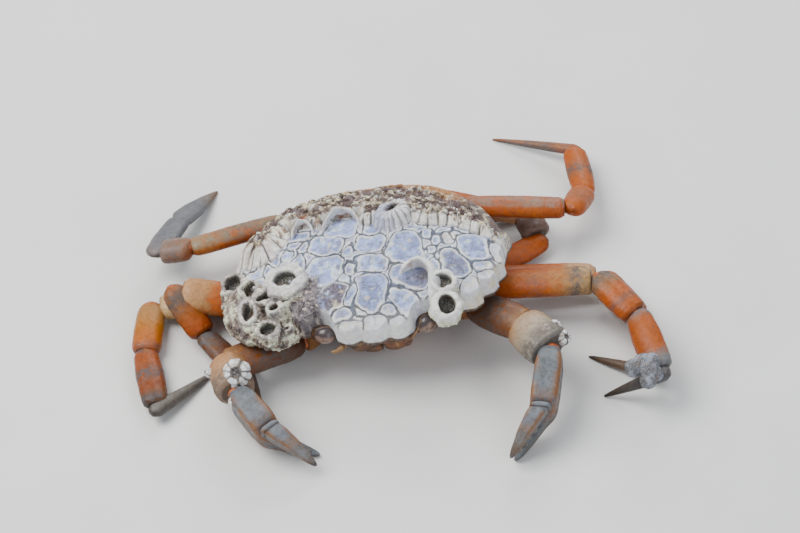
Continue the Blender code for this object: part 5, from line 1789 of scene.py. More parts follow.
@dataclass
class Segment:
    """One segment of a limb: an oval tube with ridges, a collar at its far end and stored masks."""

    start: Vector
    end: Vector
    thin: Vector
    wide: float
    deep: float
    rows: list
    bow: float = 0.0
    ridges: tuple = ((90.0, 0.05, 14.0), (0.0, 0.04, 18.0), (180.0, 0.04, 18.0))
    stains: tuple = ()
    power: float = 2.3
    collar: float = 0.015
    swell: float = 0.02
    sides: int = 44
    rings: int = 72
    seed: int = 0
    floor: Optional[float] = None

    def shape(self) -> tuple[bmesh.types.BMesh, dict]:
        """Shape the segment.

        Returns:
            The mesh and the masks of its finish.
        """
        bm, share, turn = tube(self.sides, self.rings)
        axis = (self.end - self.start).normalized()
        across, thin = across_from(axis, self.thin)
        length = (self.end - self.start).length
        wide = along_rows(self.rows, share, 1) * self.wide / 2.0
        deep = along_rows(self.rows, share, 2) * self.deep / 2.0
        c, s = np.cos(turn), np.sin(turn)
        corner = (np.abs(c) ** self.power + np.abs(s) ** self.power) ** (-1.0 / self.power)
        middle = smooth_step(0.04, 0.2, share) * smooth_step(1.0, 0.85, share)
        reach = corner * (1.0 + self.collar * (bell(share, 0.945, 0.02) - 0.8 * bell(share, 0.9, 0.022)))
        for angle, height, spread in self.ridges:
            apart = np.abs((np.degrees(turn) - angle + 180.0) % 360.0 - 180.0)
            reach = reach * (1.0 + height * (np.exp(-((apart / spread) ** 2)) * middle))
        centre = np.array(self.start)[None, :] + np.outer(share * length, np.array(axis))
        centre += np.outer(self.bow * np.sin(math.pi * share), np.array(across))
        round_off = np.outer(c * reach * wide, np.array(across)) + np.outer(s * reach * deep, np.array(thin))
        spots = centre + round_off
        reach = 1.0 + self.swell * layered(spots, 5.0, 3, self.seed) + 0.012 * lumps(spots, 1.0, self.seed + 7)
        spots = centre + round_off * reach[:, None]
        if self.floor is not None:
            spots[:, 2] = np.maximum(spots[:, 2], self.floor)
        move_to(bm, spots)
        facing = round_off / np.maximum(1e-6, np.linalg.norm(round_off, axis=1))[:, None]
        stain = np.zeros(len(share))
        for spot, spread, strength in self.stains:
            stain = np.maximum(stain, strength * bell(share, spot, spread))
        masks = {
            "along": share,
            # Share of the surface facing up, where the finish paints its sheen.
            "sheen_facing": np.maximum(facing[:, 2], 0.0),
            "ridge": np.zeros(len(share)),
            "stain": stain,
            "seam": 0.4 * bell(share, 0.0, 0.03) + 0.6 * bell(share, 1.0, 0.012),
        }
        return bm, masks


class Part(Enum):
    """Segments of a limb from the body outwards."""

    HIP = "hip"
    MERUS = "merus"
    CARPUS = "carpus"
    PROPODUS = "propodus"
    DACTYL = "dactyl"


ORANGE = (216, 110, 34)
DEEP = (184, 84, 26)
CREAM = (220, 192, 164)
GREY = (132, 126, 124)
SLATE = (120, 128, 138)
RUST = (146, 76, 42)


def banded(name: str, stops: tuple, top: tuple, share: float, sheen_from: float = 0.45, sheen_to: float = 0.95,
           **others: tuple) -> LimbFinish:
    """Finish of a segment whose colour changes along it.

    Args:
        name: Name of the finish.
        stops: Places along the segment, each with its red, green and blue.
        top: Colour of the painted sheen on its upward-facing side.
        share: How strong that painted sheen is.
        sheen_from: How far up the side the painted sheen starts.
        sheen_to: How far up the side it is full.
        **others: Colours of the stains and the ridges.

    Returns:
        The finish.
    """
    colours = {key: damp(*value) for key, value in others.items()}
    return LimbFinish(name, tuple((spot, damp(*colour)) for spot, *colour in stops), damp(*top), share,
                      sheen_from=sheen_from, sheen_to=sheen_to, **colours)


def merus_finish(name: str, far: tuple = CREAM, top: tuple = (224, 160, 96), share: float = 0.3,
                 sheen_from: float = 0.45, sheen_to: float = 0.95) -> LimbFinish:
    """Orange thigh that pales towards its far end."""
    # top and share set the painted sheen on the thigh's upward-facing side.
    stops = ((0.0, *DEEP), (0.3, *ORANGE), (0.7, 218, 120, 46), (0.83, *far), (1.0, *far))
    return banded(name, stops, top, share, sheen_from, sheen_to)


# The colour after the stops of each finish is painted sheen on the upward-facing side; on the claw's hand and finger it
# is bluish, a painted reflection of the sky.
LIMB_FINISHES = {
    "hip": banded("hip_shell", ((0.0, 112, 66, 42), (0.6, 166, 102, 62), (1.0, 196, 140, 94)), (206, 160, 116), 0.25),
    "merus": merus_finish("thigh_orange"),
    "leg_2_left_merus": banded(
        "thigh_2_left", ((0.0, 178, 80, 24), (0.3, 214, 104, 24), (0.66, 214, 112, 34), (0.82, 206, 162, 118),
        (1.0, 214, 190, 154)), (212, 158, 104), 0.6, sheen_from=0.6, sheen_to=0.95),
    "leg_4_left_merus": merus_finish("thigh_4_left", (208, 104, 44), (192, 176, 164), 0.85, 0.62, 0.8),
    "leg_5_right_merus": merus_finish("thigh_5_right", (216, 150, 96), (186, 174, 152), 0.95, 0.3, 0.52),
    "leg_2_right_merus": banded(
        "thigh_2_right", ((0.0, 196, 82, 16), (0.4, 220, 108, 26), (0.68, 222, 122, 40), (0.8, 216, 172, 128),
        (1.0, 224, 194, 164)), (226, 160, 96), 0.3, sheen_from=0.7, sheen_to=1.0),
    "leg_3_right_merus": merus_finish("thigh_3_right", (226, 206, 178), (226, 206, 180), 0.4),
    "carpus": banded(
        "knee_orange", ((0.0, *ORANGE), (0.3, 204, 120, 60), (0.8, *ORANGE), (1.0, *DEEP)), (224, 160, 96), 0.3),
    "leg_2_left_carpus": banded(
        "knee_2_left", ((0.0, 176, 152, 132), (0.28, 196, 142, 98), (0.5, *ORANGE), (0.92, 206, 100, 32),
        (1.0, *DEEP)), (216, 160, 112), 0.35),
    "leg_2_right_carpus": banded(
        "knee_2_right", ((0.0, 206, 110, 48), (0.3, 180, 130, 94), (0.6, 196, 108, 52), (0.85, 204, 92, 32),
        (1.0, *DEEP)), (216, 150, 96), 0.3),
    "leg_3_right_carpus": banded(
        "knee_3_right", ((0.0, 220, 114, 52), (0.25, 206, 162, 112), (0.6, 214, 136, 58), (1.0, *ORANGE)), CREAM,
        0.25),
    "leg_4_left_carpus": banded(
        "knee_4_left", ((0.0, *ORANGE), (0.4, 210, 112, 48), (1.0, *ORANGE)), (222, 156, 100), 0.4),
    "leg_5_right_carpus": banded(
        "knee_5_right", ((0.0, 206, 120, 66), (0.25, 188, 146, 118), (0.6, 184, 138, 112), (1.0, 174, 156, 146)),
        (182, 168, 158), 0.6, stain=(150, 142, 142)),
    "leg_5_left_carpus": banded(
        "knee_5_left", ((0.0, 186, 120, 80), (0.4, 176, 150, 142), (1.0, 166, 142, 132)), (182, 168, 162), 0.5),
    "propodus": banded(
        "shin_orange", ((0.0, *DEEP), (0.25, *ORANGE), (0.7, *ORANGE), (1.0, 160, 84, 48)), (220, 160, 104), 0.25),
    "leg_2_left_propodus": banded(
        "shin_2_left", ((0.0, 160, 156, 158), (0.1, 190, 128, 92), (0.24, 210, 108, 46), (0.72, 206, 104, 46),
        (0.86, 170, 152, 140), (1.0, 160, 158, 158)), (222, 150, 104), 0.35, stain=(150, 156, 162)),
    "leg_2_right_propodus": banded(
        "shin_2_right", ((0.0, 112, 92, 82), (0.35, 150, 92, 60), (0.7, 164, 74, 40), (1.0, 116, 84, 72)),
        (176, 140, 116), 0.3, stain=(124, 122, 126)),
    "leg_3_right_propodus": banded(
        "shin_3_right", ((0.0, 186, 136, 92), (0.14, 200, 98, 38), (0.7, 176, 82, 36), (0.9, 132, 78, 52),
        (1.0, 96, 90, 90)), (200, 128, 84), 0.25, stain=(116, 112, 112)),
    "leg_4_left_propodus": banded(
        "shin_4_left", ((0.0, *ORANGE), (0.5, 210, 112, 48), (1.0, *ORANGE)), (222, 160, 110), 0.35),
    "leg_5_right_propodus": banded(
        "shin_5_right", ((0.0, 166, 156, 150), (0.4, 150, 154, 162), (1.0, 136, 142, 150)), (172, 178, 186), 0.6,
        stain=SLATE),
    "dactyl": banded(
        "claw_tip_grey", ((0.0, *GREY), (0.4, 150, 120, 100), (0.8, 120, 84, 62), (1.0, 66, 44, 34)),
        (170, 164, 160), 0.4),
    "leg_2_left_dactyl": banded(
        "tip_2_left", ((0.0, 142, 144, 150), (0.3, 112, 110, 112), (0.8, 84, 70, 62), (1.0, 60, 46, 38)), GREY,
        0.4),
    "leg_3_right_dactyl": banded(
        "tip_3_right", ((0.0, 120, 116, 112), (0.5, 156, 152, 146), (0.85, 150, 146, 142), (1.0, 90, 72, 60)),
        (192, 190, 186), 0.6),
    "leg_4_left_dactyl": banded(
        "tip_4_left", ((0.0, *ORANGE), (0.25, 150, 132, 126), (0.75, 150, 136, 132), (1.0, 120, 78, 58)),
        (214, 148, 106), 0.9, sheen_from=0.35, sheen_to=0.7),
    "leg_5_right_dactyl": banded(
        "tip_5_right", ((0.0, 150, 156, 164), (0.5, 150, 154, 160), (0.8, 160, 140, 124), (1.0, 150, 92, 60)),
        (176, 182, 188), 0.6, stain=SLATE),
    "claw_merus": banded(
        "claw_thigh", ((0.0, 100, 54, 36), (0.4, *RUST), (0.8, 176, 96, 50), (1.0, 206, 170, 130)), (190, 140, 104),
        0.3),
    "claw_left_carpus": banded(
        "claw_wrist_left", ((0.0, 204, 124, 66), (0.2, 208, 180, 152), (0.65, 206, 199, 188), (1.0, 172, 172, 172)),
        (222, 216, 208), 0.5),
    "claw_right_carpus": banded(
        "claw_wrist_right", ((0.0, 196, 130, 76), (0.3, 214, 172, 138), (0.8, 208, 180, 154), (1.0, 190, 170, 156)),
        (226, 206, 184), 0.5),
    "claw_hand": banded(
        "claw_hand", ((0.0, 104, 102, 102), (0.15, 134, 138, 142), (0.6, 142, 148, 154), (1.0, 130, 130, 126)),
        (168, 180, 192), 0.75, stain=(182, 128, 96), ridge=(194, 134, 88)),
    "claw_finger": banded(
        "claw_finger", ((0.0, 146, 152, 160), (0.4, 152, 158, 166), (0.75, 158, 140, 124), (0.92, 140, 106, 84),
        (1.0, 96, 70, 56)), (184, 192, 202), 0.7, stain=(190, 146, 116), ridge=(188, 134, 94)),
}

PART_SLOTS = {Part.HIP: Slot.BROWN, Part.MERUS: Slot.ORANGE, Part.CARPUS: Slot.ORANGE, Part.PROPODUS: Slot.ORANGE,
              Part.DACTYL: Slot.TIP}

STAINS = {
    "leg_2_left_merus": ((0.55, 0.1, 0.5), (0.88, 0.07, 0.9)),
    "leg_2_left_carpus": ((0.12, 0.2, 0.9), (0.72, 0.07, 0.6)),
    "leg_2_left_propodus": ((0.06, 0.09, 1.0), (0.95, 0.16, 1.0)),
    "leg_2_right_carpus": ((0.3, 0.2, 0.9),),
    "leg_2_right_propodus": ((0.1, 0.3, 1.0), (0.6, 0.2, 0.6)),
    "leg_3_right_carpus": ((0.95, 0.08, 0.6),),
    "leg_3_right_propodus": ((0.5, 0.12, 0.9), (0.05, 0.1, 0.9), (0.95, 0.1, 0.9)),
    "leg_4_left_propodus": ((0.5, 0.12, 0.9),),
    "leg_4_left_dactyl": ((0.5, 0.3, 0.6),),
    "leg_5_right_carpus": ((0.5, 0.35, 0.7),),
    "leg_5_right_merus": ((0.4, 0.3, 0.5),),
    "leg_3_right_dactyl": ((0.5, 0.5, 0.6),),
}


def direction(azimuth: float, rise: float) -> Vector:
    """Unit vector from an angle round the vertical and a rise over the floor.

    Args:
        azimuth: Angle in degrees.
        rise: Rise in degrees.

    Returns:
        The vector.
    """
    a = math.radians(azimuth)
    e = math.radians(rise)
    return Vector((math.cos(a) * math.cos(e), math.sin(a) * math.cos(e), math.sin(e)))


def bend_normals(points: list) -> list:
    """Thin direction of each segment: the normal of the plane in which the limb bends there.

    Args:
        points: Joint points of the limb.

    Returns:
        One direction for each segment.
    """
    runs = [(b - a).normalized() for a, b in zip(points, points[1:])]
    normals = []
    for index in range(len(runs)):
        total = Vector((0.0, 0.0, 0.35))
        for first, second in ((index - 1, index), (index, index + 1)):
            if first >= 0 and second < len(runs):
                turn = runs[first].cross(runs[second])
                total += turn if turn.z >= 0.0 else -turn
        normals.append(total)
    return normals


def soft_joint(name: str, spots: list) -> None:
    """Build the soft skin that shows between the segments of one limb.

    Args:
        name: Name of the limb.
        spots: Centre, axis and size of the skin of each joint.
    """
    parts = []
    for centre, axis, size in spots:
        bm = bmesh.new()
        bmesh.ops.create_uvsphere(bm, u_segments=24, v_segments=16, radius=1.0)
        turn = axis.to_track_quat("Z", "Y").to_matrix().to_4x4()
        scale = Matrix.Diagonal((size * 0.4, size * 0.4, size * 0.32, 1.0))
        bmesh.ops.transform(bm, matrix=Matrix.Translation(centre) @ turn @ scale, verts=bm.verts[:])
        parts.append(bm)
    finish = PlainShellFinish("joint_skin", seen(176, 92, 44), seen(206, 140, 88), 1.2, 0.5)
    finish_piece(f"{name}_joints", joined(parts), FLOOR_PLACE, finish, Slot.ORANGE)


@dataclass
class WalkingLeg:
    """One of the eight walking legs."""

    name: str
    pair: int
    root: tuple
    knee: tuple
    angles: tuple
    tip_azimuth: float

    sizes: ClassVar[dict] = {
        2: ((5.6, 5.2), (8.2, 5.0), (6.8, 4.8), (6.6, 4.2), (3.8, 2.8)),
        3: ((5.6, 5.2), (8.0, 4.8), (6.8, 4.6), (6.4, 4.0), (3.8, 2.8)),
        4: ((5.2, 4.8), (5.9, 4.3), (6.2, 4.5), (6.2, 4.2), (3.2, 2.4)),
        5: ((5.0, 4.6), (5.6, 3.9), (7.0, 5.2), (6.4, 3.0), (5.4, 1.8)),
    }
    lengths: ClassVar[dict] = {2: (28.0, 13.5, 16.5, 16.0), 3: (29.0, 14.5, 17.5, 18.0),
                               4: (25.0, 12.0, 16.5, 23.0), 5: (23.5, 8.0, 14.5, 17.0)}
    tip_height: ClassVar[float] = 0.25

    def joints(self) -> list:
        """Joint points from the root to the tip on the floor.

        Returns:
            The points.
        """
        points = [Vector(self.root), Vector(self.knee)]
        for (azimuth, rise), length in zip(self.angles, self.lengths[self.pair]):
            points.append(points[-1] + direction(azimuth, rise) * length)
        last = self.lengths[self.pair][-1]
        fall = math.degrees(math.asin((points[-1].z - self.tip_height) / last))
        points.append(points[-1] + direction(self.tip_azimuth, -fall) * last)
        return points

    def build(self) -> None:
        """Build and dress the leg's segments and the skin between them."""
        points = self.joints()
        normals = bend_normals(points)
        profiles = (HIP, MERUS, CARPUS, PROPODUS, BLADE if self.pair == 5 else DACTYL)
        skins = []
        for index, part in enumerate(Part):
            start, end = points[index], points[index + 1]
            axis = (end - start).normalized()
            wide, deep = self.sizes[self.pair][index]
            if index < 4:
                onward = (points[index + 2] - end).normalized()
                angle = axis.angle(onward)
                bend = math.sin(angle) if angle < math.pi / 2.0 else 1.0
                end = end - axis * 0.32 * self.sizes[self.pair][index + 1][0] * bend
                small = self.sizes[self.pair][index + 1][1]
                skins.append((points[index + 1] - axis * 0.2, (axis + onward).normalized(), small * 0.98))
            key = f"{self.name}_{part.value}"
            finish = LIMB_FINISHES.get(key, LIMB_FINISHES[part.value])
            segment = Segment(start - axis * (1.7 if index else 0.0), end, normals[index], wide, deep, profiles[index],
                              seed=self.pair * 10 + index, stains=STAINS.get(key, ((0.5, 0.3, 0.25),)),
                              swell=0.03 if part is Part.HIP else 0.022,
                              floor=0.0 if part is Part.DACTYL else None,
                              collar=0.0 if part is Part.DACTYL else 0.012)
            if part is Part.DACTYL:
                segment.ridges = ((90.0, 0.07, 16.0), (35.0, -0.06, 12.0), (145.0, -0.06, 12.0), (-90.0, 0.05, 16.0))
            bm, masks = segment.shape()
            finish_piece(f"{key}_shell", bm, FLOOR_PLACE, finish, PART_SLOTS[part], (key,), masks)
        soft_joint(self.name, skins)


WALKING_LEGS = (
    WalkingLeg("leg_2_left", 2, (15.3, -4.0, 8.8), (21.1, -5.0, 11.0), ((-3, 4), (-52, -6), (-74, -7)), 170),
    WalkingLeg("leg_3_left", 3, (16.3, 2.0, 8.9), (21.5, 1.2, 5.6), ((2, -3), (-60, -2), (-78, -1)), 150),
    WalkingLeg("leg_4_left", 4, (14.8, 9.0, 8.8), (19.0, 19.5, 13.0), ((-2, -4), (74, -24), (97, -5)), 153),
    WalkingLeg("leg_5_left", 5, (9.5, 15.0, 9.0), (10.3, 25.6, 10.6), ((-6, -15), (-66, -10), (-152, -7)), 170),
    WalkingLeg("leg_2_right", 2, (-16.5, -4.0, 5.2), (-22.7, -4.5, 5.2), ((173, 9.5), (-50, -28.5), (-50, -2)), -72),
    WalkingLeg("leg_3_right", 3, (-17.5, 2.0, 5.0), (-27.6, 3.4, 3.6), ((-173.5, -1), (-90, 0), (-76, 0)), 48),
    WalkingLeg("leg_4_right", 4, (-16.0, 8.0, 5.0), (-19.5, 13.5, 3.8), ((55, -2), (-25, -1), (-10, -2)), 8),
    WalkingLeg("leg_5_right", 5, (-15.0, 15.0, 7.8), (-26.0, 20.5, 9.5), ((-160, 1), (172, -12), (72, -11)), 64),
)


@dataclass
class Claw:
    """One of the two claws."""

    name: str
    points: tuple
    spine: tuple
    wrist_width: float = 9.0

    def build(self) -> None:
        """Build and dress the claw's segments."""
        root, shoulder, elbow, wrist, knuckle, thumb_tip, finger_tip = (Vector(p) for p in self.points)
        normals = bend_normals([root, shoulder, elbow, wrist, knuckle])
        upper_arm = (elbow - shoulder).normalized()
        forearm = (wrist - elbow).normalized()
        rows = (
            ("hip", Segment(root, shoulder, normals[0], 6.2, 5.8, HIP, seed=3), LIMB_FINISHES["hip"], Slot.BROWN),
            ("merus", Segment(shoulder - upper_arm * 0.6, elbow, normals[1], 8.4, 6.4, MERUS, seed=5, swell=0.05,
                              stains=((0.5, 0.4, 0.8),)), LIMB_FINISHES["claw_merus"], Slot.ORANGE),
            ("carpus", Segment(elbow - forearm * 1.8, wrist - forearm * 0.3, normals[2], self.wrist_width, 8.4, CARPUS,
                               seed=7, swell=0.05, stains=((0.8, 0.2, 0.7),), power=2.15),
             LIMB_FINISHES[f"{self.name}_carpus"], Slot.CREAM),
        )
        for part, segment, finish, slot in rows:
            bm, masks = segment.shape()
            key = f"{self.name}_{part}"
            finish_piece(f"{key}_shell", bm, FLOOR_PLACE, finish, slot, (key,), masks)
        self.build_hand(wrist, knuckle, finger_tip)
        self.build_finger(wrist, knuckle, thumb_tip)
        self.build_spine(elbow, wrist, normals[2])
        soft_joint(self.name, [(shoulder, upper_arm, 5.6), (elbow, forearm, 6.4),
                               (wrist, (knuckle - wrist).normalized(), 5.0)])

    def directions(self, wrist: Vector, knuckle: Vector) -> tuple[Vector, Vector, Vector]:
        """Directions along the palm, up across it and to its side.

        Args:
            wrist: Wrist joint.
            knuckle: Joint of the movable finger.

        Returns:
            The three directions.
        """
        axis = (knuckle - wrist).normalized()
        up = Vector((0.0, -0.25, 1.0))
        up = (up - axis * up.dot(axis)).normalized()
        return axis, up, axis.cross(up).normalized()

    def sweep(self, rows: list, up: Vector, side: Vector, seed: int, keels: float) -> tuple:
        """Sweep a rounded section along a row of middles.

        Args:
            rows: Middle, height and thickness of each station.
            up: Direction across the hand.
            side: Direction of its thickness.
            seed: Choice among different patterns.
            keels: Height of the two keels on the upper side.

        Returns:
            The mesh and the masks of its finish.
        """
        bm, share, turn = tube(56, 110)
        reach = [0.0]
        for first, second in zip(rows, rows[1:]):
            reach.append(reach[-1] + (second[0] - first[0]).length)
        steps = [value / reach[-1] for value in reach]
        table = [(step, *row[0], row[1], row[2]) for step, row in zip(steps, rows)]
        centre = np.stack([along_rows(table, share, column, 0.03) for column in (1, 2, 3)], axis=1)
        tall = along_rows(table, share, 4, 0.012) / 2.0
        deep = along_rows(table, share, 5, 0.012) / 2.0
        power = 2.9
        c, s = np.cos(turn), np.sin(turn)
        corner = (np.abs(c) ** power + np.abs(s) ** power) ** (-1.0 / power)
        degrees = np.degrees(turn)
        keel = np.exp(-(((np.abs(degrees) - 42.0) / 12.0) ** 2)) * smooth_step(0.03, 0.12, share)
        groove = np.exp(-((degrees / 22.0) ** 2)) + np.exp(-(((np.abs(degrees) - 76.0) / 12.0) ** 2))
        corner = corner * (1.0 + keels * keel - 0.5 * keels * groove)
        off = np.outer(c * corner * tall, np.array(up)) + np.outer(s * corner * deep, np.array(side))
        spots = centre + off
        spots = centre + off * (1.0 + 0.04 * layered(spots, 3.0, 4, seed))[:, None]
        spots[:, 2] = np.maximum(spots[:, 2], 0.0)
        move_to(bm, spots)
        facing = off / np.maximum(1e-6, np.linalg.norm(off, axis=1))[:, None]
        band = np.exp(-(((np.abs(degrees) - 46.0) / 15.0) ** 2)) * smooth_step(0.03, 0.12, share)
        stripe = band * smooth_step(0.75, 0.5, share) * smooth_step(-0.6, 0.0, lumps(spots, 2.5, seed + 2))
        masks = {
            # The share facing up across the hand carries the painted sheen and sky reflection of the finish.
            "along": share, "sheen_facing": np.maximum(facing @ np.array(up), 0.0), "ridge": stripe * 0.9,
            "stain": 0.8 * smooth_step(0.2, -0.5, facing @ np.array(up)) + 0.5 * bell(share, 0.5, 0.08),
            "seam": 0.8 * bell(share, 0.0, 0.02),
        }
        return bm, masks

    def teeth(self, places: list) -> list:
        """Low rounded teeth on a cutting edge, from their places, directions and sizes.

        Args:
            places: Middle, direction and size of each tooth.

        Returns:
            One mesh for each tooth.
        """
        parts = []
        for centre, up, size in places:
            bm = bmesh.new()
            bmesh.ops.create_icosphere(bm, subdivisions=3, radius=size)
            turn = up.to_track_quat("Z", "Y").to_matrix().to_4x4()
            scale = Matrix.Diagonal((1.2, 0.8, 1.1, 1.0))
            bmesh.ops.transform(bm, matrix=Matrix.Translation(centre) @ turn @ scale, verts=bm.verts[:])
            parts.append(bm)
        return parts

    def build_hand(self, wrist: Vector, knuckle: Vector, finger_tip: Vector) -> None:
        """Build the palm and its fixed finger.

        Args:
            wrist: Wrist joint.
            knuckle: Joint of the movable finger.
            finger_tip: Tip of the fixed finger.
        """
        axis, up, side = self.directions(wrist, knuckle)
        rows = [
            (wrist - axis * 0.8, 3.0, 3.0), (wrist + axis * 0.2, 5.4, 4.6), (wrist + axis * 1.4, 7.4, 5.4),
            (wrist.lerp(knuckle, 0.3), 9.6, 6.4), (wrist.lerp(knuckle, 0.75), 10.4, 6.6),
            (knuckle - axis * 0.6, 9.6, 6.3), (knuckle - up * 1.9 + axis * 0.6, 5.6, 5.4),
        ]
        start = knuckle - up * 2.3
        teeth = []
        for share, wide, deep in ((0.25, 4.4, 4.0), (0.55, 3.4, 3.0), (0.85, 2.0, 1.8), (0.97, 1.0, 0.9),
                                  (1.0, 0.4, 0.4)):
            spot = start.lerp(finger_tip, share) - up * 0.9 * math.sin(math.pi * share)
            rows.append((spot, wide, deep))
        for share, size in ((0.2, 0.95), (0.36, 1.05), (0.52, 0.8), (0.66, 0.75), (0.78, 0.55)):
            spot = start.lerp(finger_tip, share) - up * 0.9 * math.sin(math.pi * share)
            teeth.append((spot + up * (1.95 - 1.35 * share), up, size))
        bm, masks = self.sweep(rows, up, side, 11, 0.09)
        key = f"{self.name}_propodus"
        finish_piece(f"{key}_shell", bm, FLOOR_PLACE, LIMB_FINISHES["claw_hand"], Slot.GREY, (key,), masks)
        finish_piece(f"{key}_teeth", joined(self.teeth(teeth)), FLOOR_PLACE, TEETH, Slot.GREY)

    def build_finger(self, wrist: Vector, knuckle: Vector, tip: Vector) -> None:
        """Build the movable finger.

        Args:
            wrist: Wrist joint.
            knuckle: Joint of the movable finger.
            tip: Its tip.
        """
        axis, up, side = self.directions(wrist, knuckle)
        start = knuckle + up * 2.4 - axis * 0.6
        rows = []
        teeth = []
        for share, wide, deep in ((0.0, 2.6, 2.8), (0.03, 4.2, 4.4), (0.09, 4.9, 4.9), (0.14, 4.3, 4.3),
                                  (0.3, 4.5, 4.2), (0.6, 3.4, 3.1), (0.87, 1.9, 1.8), (0.97, 1.0, 0.9),
                                  (1.0, 0.35, 0.35)):
            rows.append((start.lerp(tip, share) + up * 1.1 * math.sin(math.pi * share), wide, deep))
        for share, size in ((0.3, 0.8), (0.45, 0.85), (0.6, 0.65), (0.75, 0.55)):
            spot = start.lerp(tip, share) + up * 1.1 * math.sin(math.pi * share)
            teeth.append((spot - up * (2.0 - 1.3 * share), -up, size))
        bm, masks = self.sweep(rows, up, side, 13, 0.1)
        masks["seam"] = 0.8 * bell(masks["along"], 0.125, 0.015) + 0.8 * bell(masks["along"], 0.0, 0.03)
        key = f"{self.name}_dactyl"
        finish_piece(f"{key}_shell", bm, FLOOR_PLACE, LIMB_FINISHES["claw_finger"], Slot.GREY, (key,), masks)
        finish_piece(f"{key}_teeth", joined(self.teeth(teeth)), FLOOR_PLACE, TEETH, Slot.GREY)

    def build_spine(self, elbow: Vector, wrist: Vector, thin: Vector) -> None:
        """Build the sharp inner spine of the wrist segment.

        Args:
            elbow: Joint before the segment.
            wrist: Joint behind it.
            thin: Thin direction of the segment.
        """
        axis = (wrist - elbow).normalized()
        across, thin = across_from(axis, thin)
        inward = -across if (across.x > 0.0) == (wrist.x > 0.0) else across
        base = elbow.lerp(wrist, 0.45) + inward * 2.4
        rows = [(0.0, 1.0, 1.0), (0.5, 0.62, 0.62), (0.9, 0.25, 0.25), (1.0, 0.1, 0.1)]
        segment = Segment(base, Vector(self.spine), thin, 3.4, 3.0, rows, sides=24, rings=40, collar=0.0, swell=0.03)
        bm, masks = segment.shape()
        masks["seam"] *= 0.0
        stops = ((0.0, seen(214, 176, 128)), (0.6, seen(226, 208, 170)), (1.0, seen(236, 230, 214)))
        # The pale colour after the stops is painted sheen on the spine's upward-facing side.
        finish = LimbFinish("spine_shell", stops, seen(236, 228, 210), 0.6)
        finish_piece(f"{self.name}_spine", bm, FLOOR_PLACE, finish, Slot.CREAM, (), masks)


CLAWS = (
    Claw("claw_left", ((12.0, -9.8, 8.5), (20.0, -10.6, 11.0), (31.9, -19.5, 12.5), (37.5, -27.3, 13.0),
                       (35.2, -40.8, 8.6), (27.6, -49.6, 3.0), (28.4, -48.6, 0.6)), (33.4, -25.6, 11.0), 10.4),
    Claw("claw_right", ((-13.6, -9.4, 5.4), (-19.5, -14.8, 6.0), (-35.8, -23.9, 8.8), (-33.0, -33.4, 9.8),
                        (-25.4, -43.0, 7.2), (-15.0, -49.2, 2.6), (-14.6, -44.6, 0.6)), (-30.2, -31.4, 9.8)),
)


@dataclass
class Hangers:
    """Barnacles that grow on the claws and legs."""

    lumps: tuple = ((55.4, -32.4, 11.6, 2.1), (57.4, -31.0, 12.0, 1.9), (59.4, -30.9, 11.8, 1.8),
                    (58.6, -33.4, 11.4, 2.2), (58.4, -35.4, 10.6, 1.9), (60.4, -33.6, 10.8, 1.6))

    def cup(self, name: str, spot: tuple, facing: tuple, radius: float, mouth: float, tall: float, seed: int,
            slot: Slot, dark: float = 1.0) -> None:
        """Build one barnacle.

        Args:
            name: Name of the piece.
            spot: Middle of its foot in the frame of the floor.
            facing: Direction in which it stands.
            radius: Radius of its foot.
            mouth: Radius of its mouth.
            tall: Height.
            seed: Choice among different patterns.
            slot: Record slot of its finish.
            dark: How dark its mouth is.
        """
        cup = Cup((0.0, 0.0, tall), tall, radius, mouth, 0.85, 20.0 * seed, 0.75)
        bm, inside, ribs = cup.mesh(72, 40, 7, 0.035, seed)
        spots = spots_of(bm)
        tint = blend(seen(132, 122, 114), seen(226, 224, 220), smooth_step(0.04, 0.26, ribs))
        tint = blend(tint, seen(178, 160, 140), smooth_step(0.1, 0.5, layered(spots, 1.4, 3, seed + 20)) * 0.6)
        tint = blend(tint, seen(96, 88, 84), inside * dark)
        turn = Vector(facing).to_track_quat("Z", "Y").to_matrix().to_4x4()
        finish_piece(name, bm, FLOOR_PLACE @ Matrix.Translation(spot) @ turn, ScarFinish(), slot, (),
                     {"grit": np.full(len(spots), 0.25)}, tint)

    def build(self) -> None:
        """Build all of them."""
        self.cup("claw_right_barnacle", (-32.7, -30.5, 13.3), (0.1, -0.55, 0.83), 3.3, 1.2, 1.4, 3, Slot.CREAM)
        self.cup("claw_right_barnacle_small", (-33.3, -37.2, 11.5), (0.0, -0.3, 0.9), 1.15, 0.3, 1.0, 5, Slot.GREY, 0.3)
        self.cup("claw_right_barnacle_side", (-39.6, -27.3, 10.4), (-0.8, -0.2, 0.6), 1.2, 0.3, 0.9, 6, Slot.CREAM, 0.3)
        self.cup("claw_left_barnacle_a", (38.6, -22.4, 15.5), (0.3, -0.4, 0.9), 1.6, 0.6, 0.5, 2, Slot.CREAM)
        self.cup("claw_left_barnacle_b", (40.7, -24.9, 14.4), (0.6, -0.4, 0.8), 1.7, 0.55, 0.6, 4, Slot.CREAM)
        self.clump()

    def clump(self) -> None:
        """Build the chalky lumps round the end of the left second leg."""
        parts = []
        for x, y, z, size in self.lumps:
            bm = bmesh.new()
            bmesh.ops.create_icosphere(bm, subdivisions=4, radius=size)
            bmesh.ops.translate(bm, vec=(x, y, z), verts=bm.verts[:])
            parts.append(bm)
        bm = fused(parts, 0.2)
        spots = spots_of(bm)
        rough = layered(spots, 1.8, 4, 61)
        move_to(bm, spots + normals_of(bm) * (0.32 * rough)[:, None])
        tint = blend(seen(124, 128, 134), seen(172, 176, 183),
                     smooth_step(-0.1, 0.35, rough))
        tint = blend(tint, seen(104, 102, 102), smooth_step(-0.2, -0.5, rough))
        tint = blend(tint, seen(150, 120, 100), smooth_step(0.2, 0.5, layered(spots, 2.2, 3, 65)) * 0.6)
        finish_piece("leg_2_left_barnacles", bm, FLOOR_PLACE, ScarFinish(), Slot.ORANGE, (),
                     {"grit": np.full(len(spots), 0.3)}, tint)


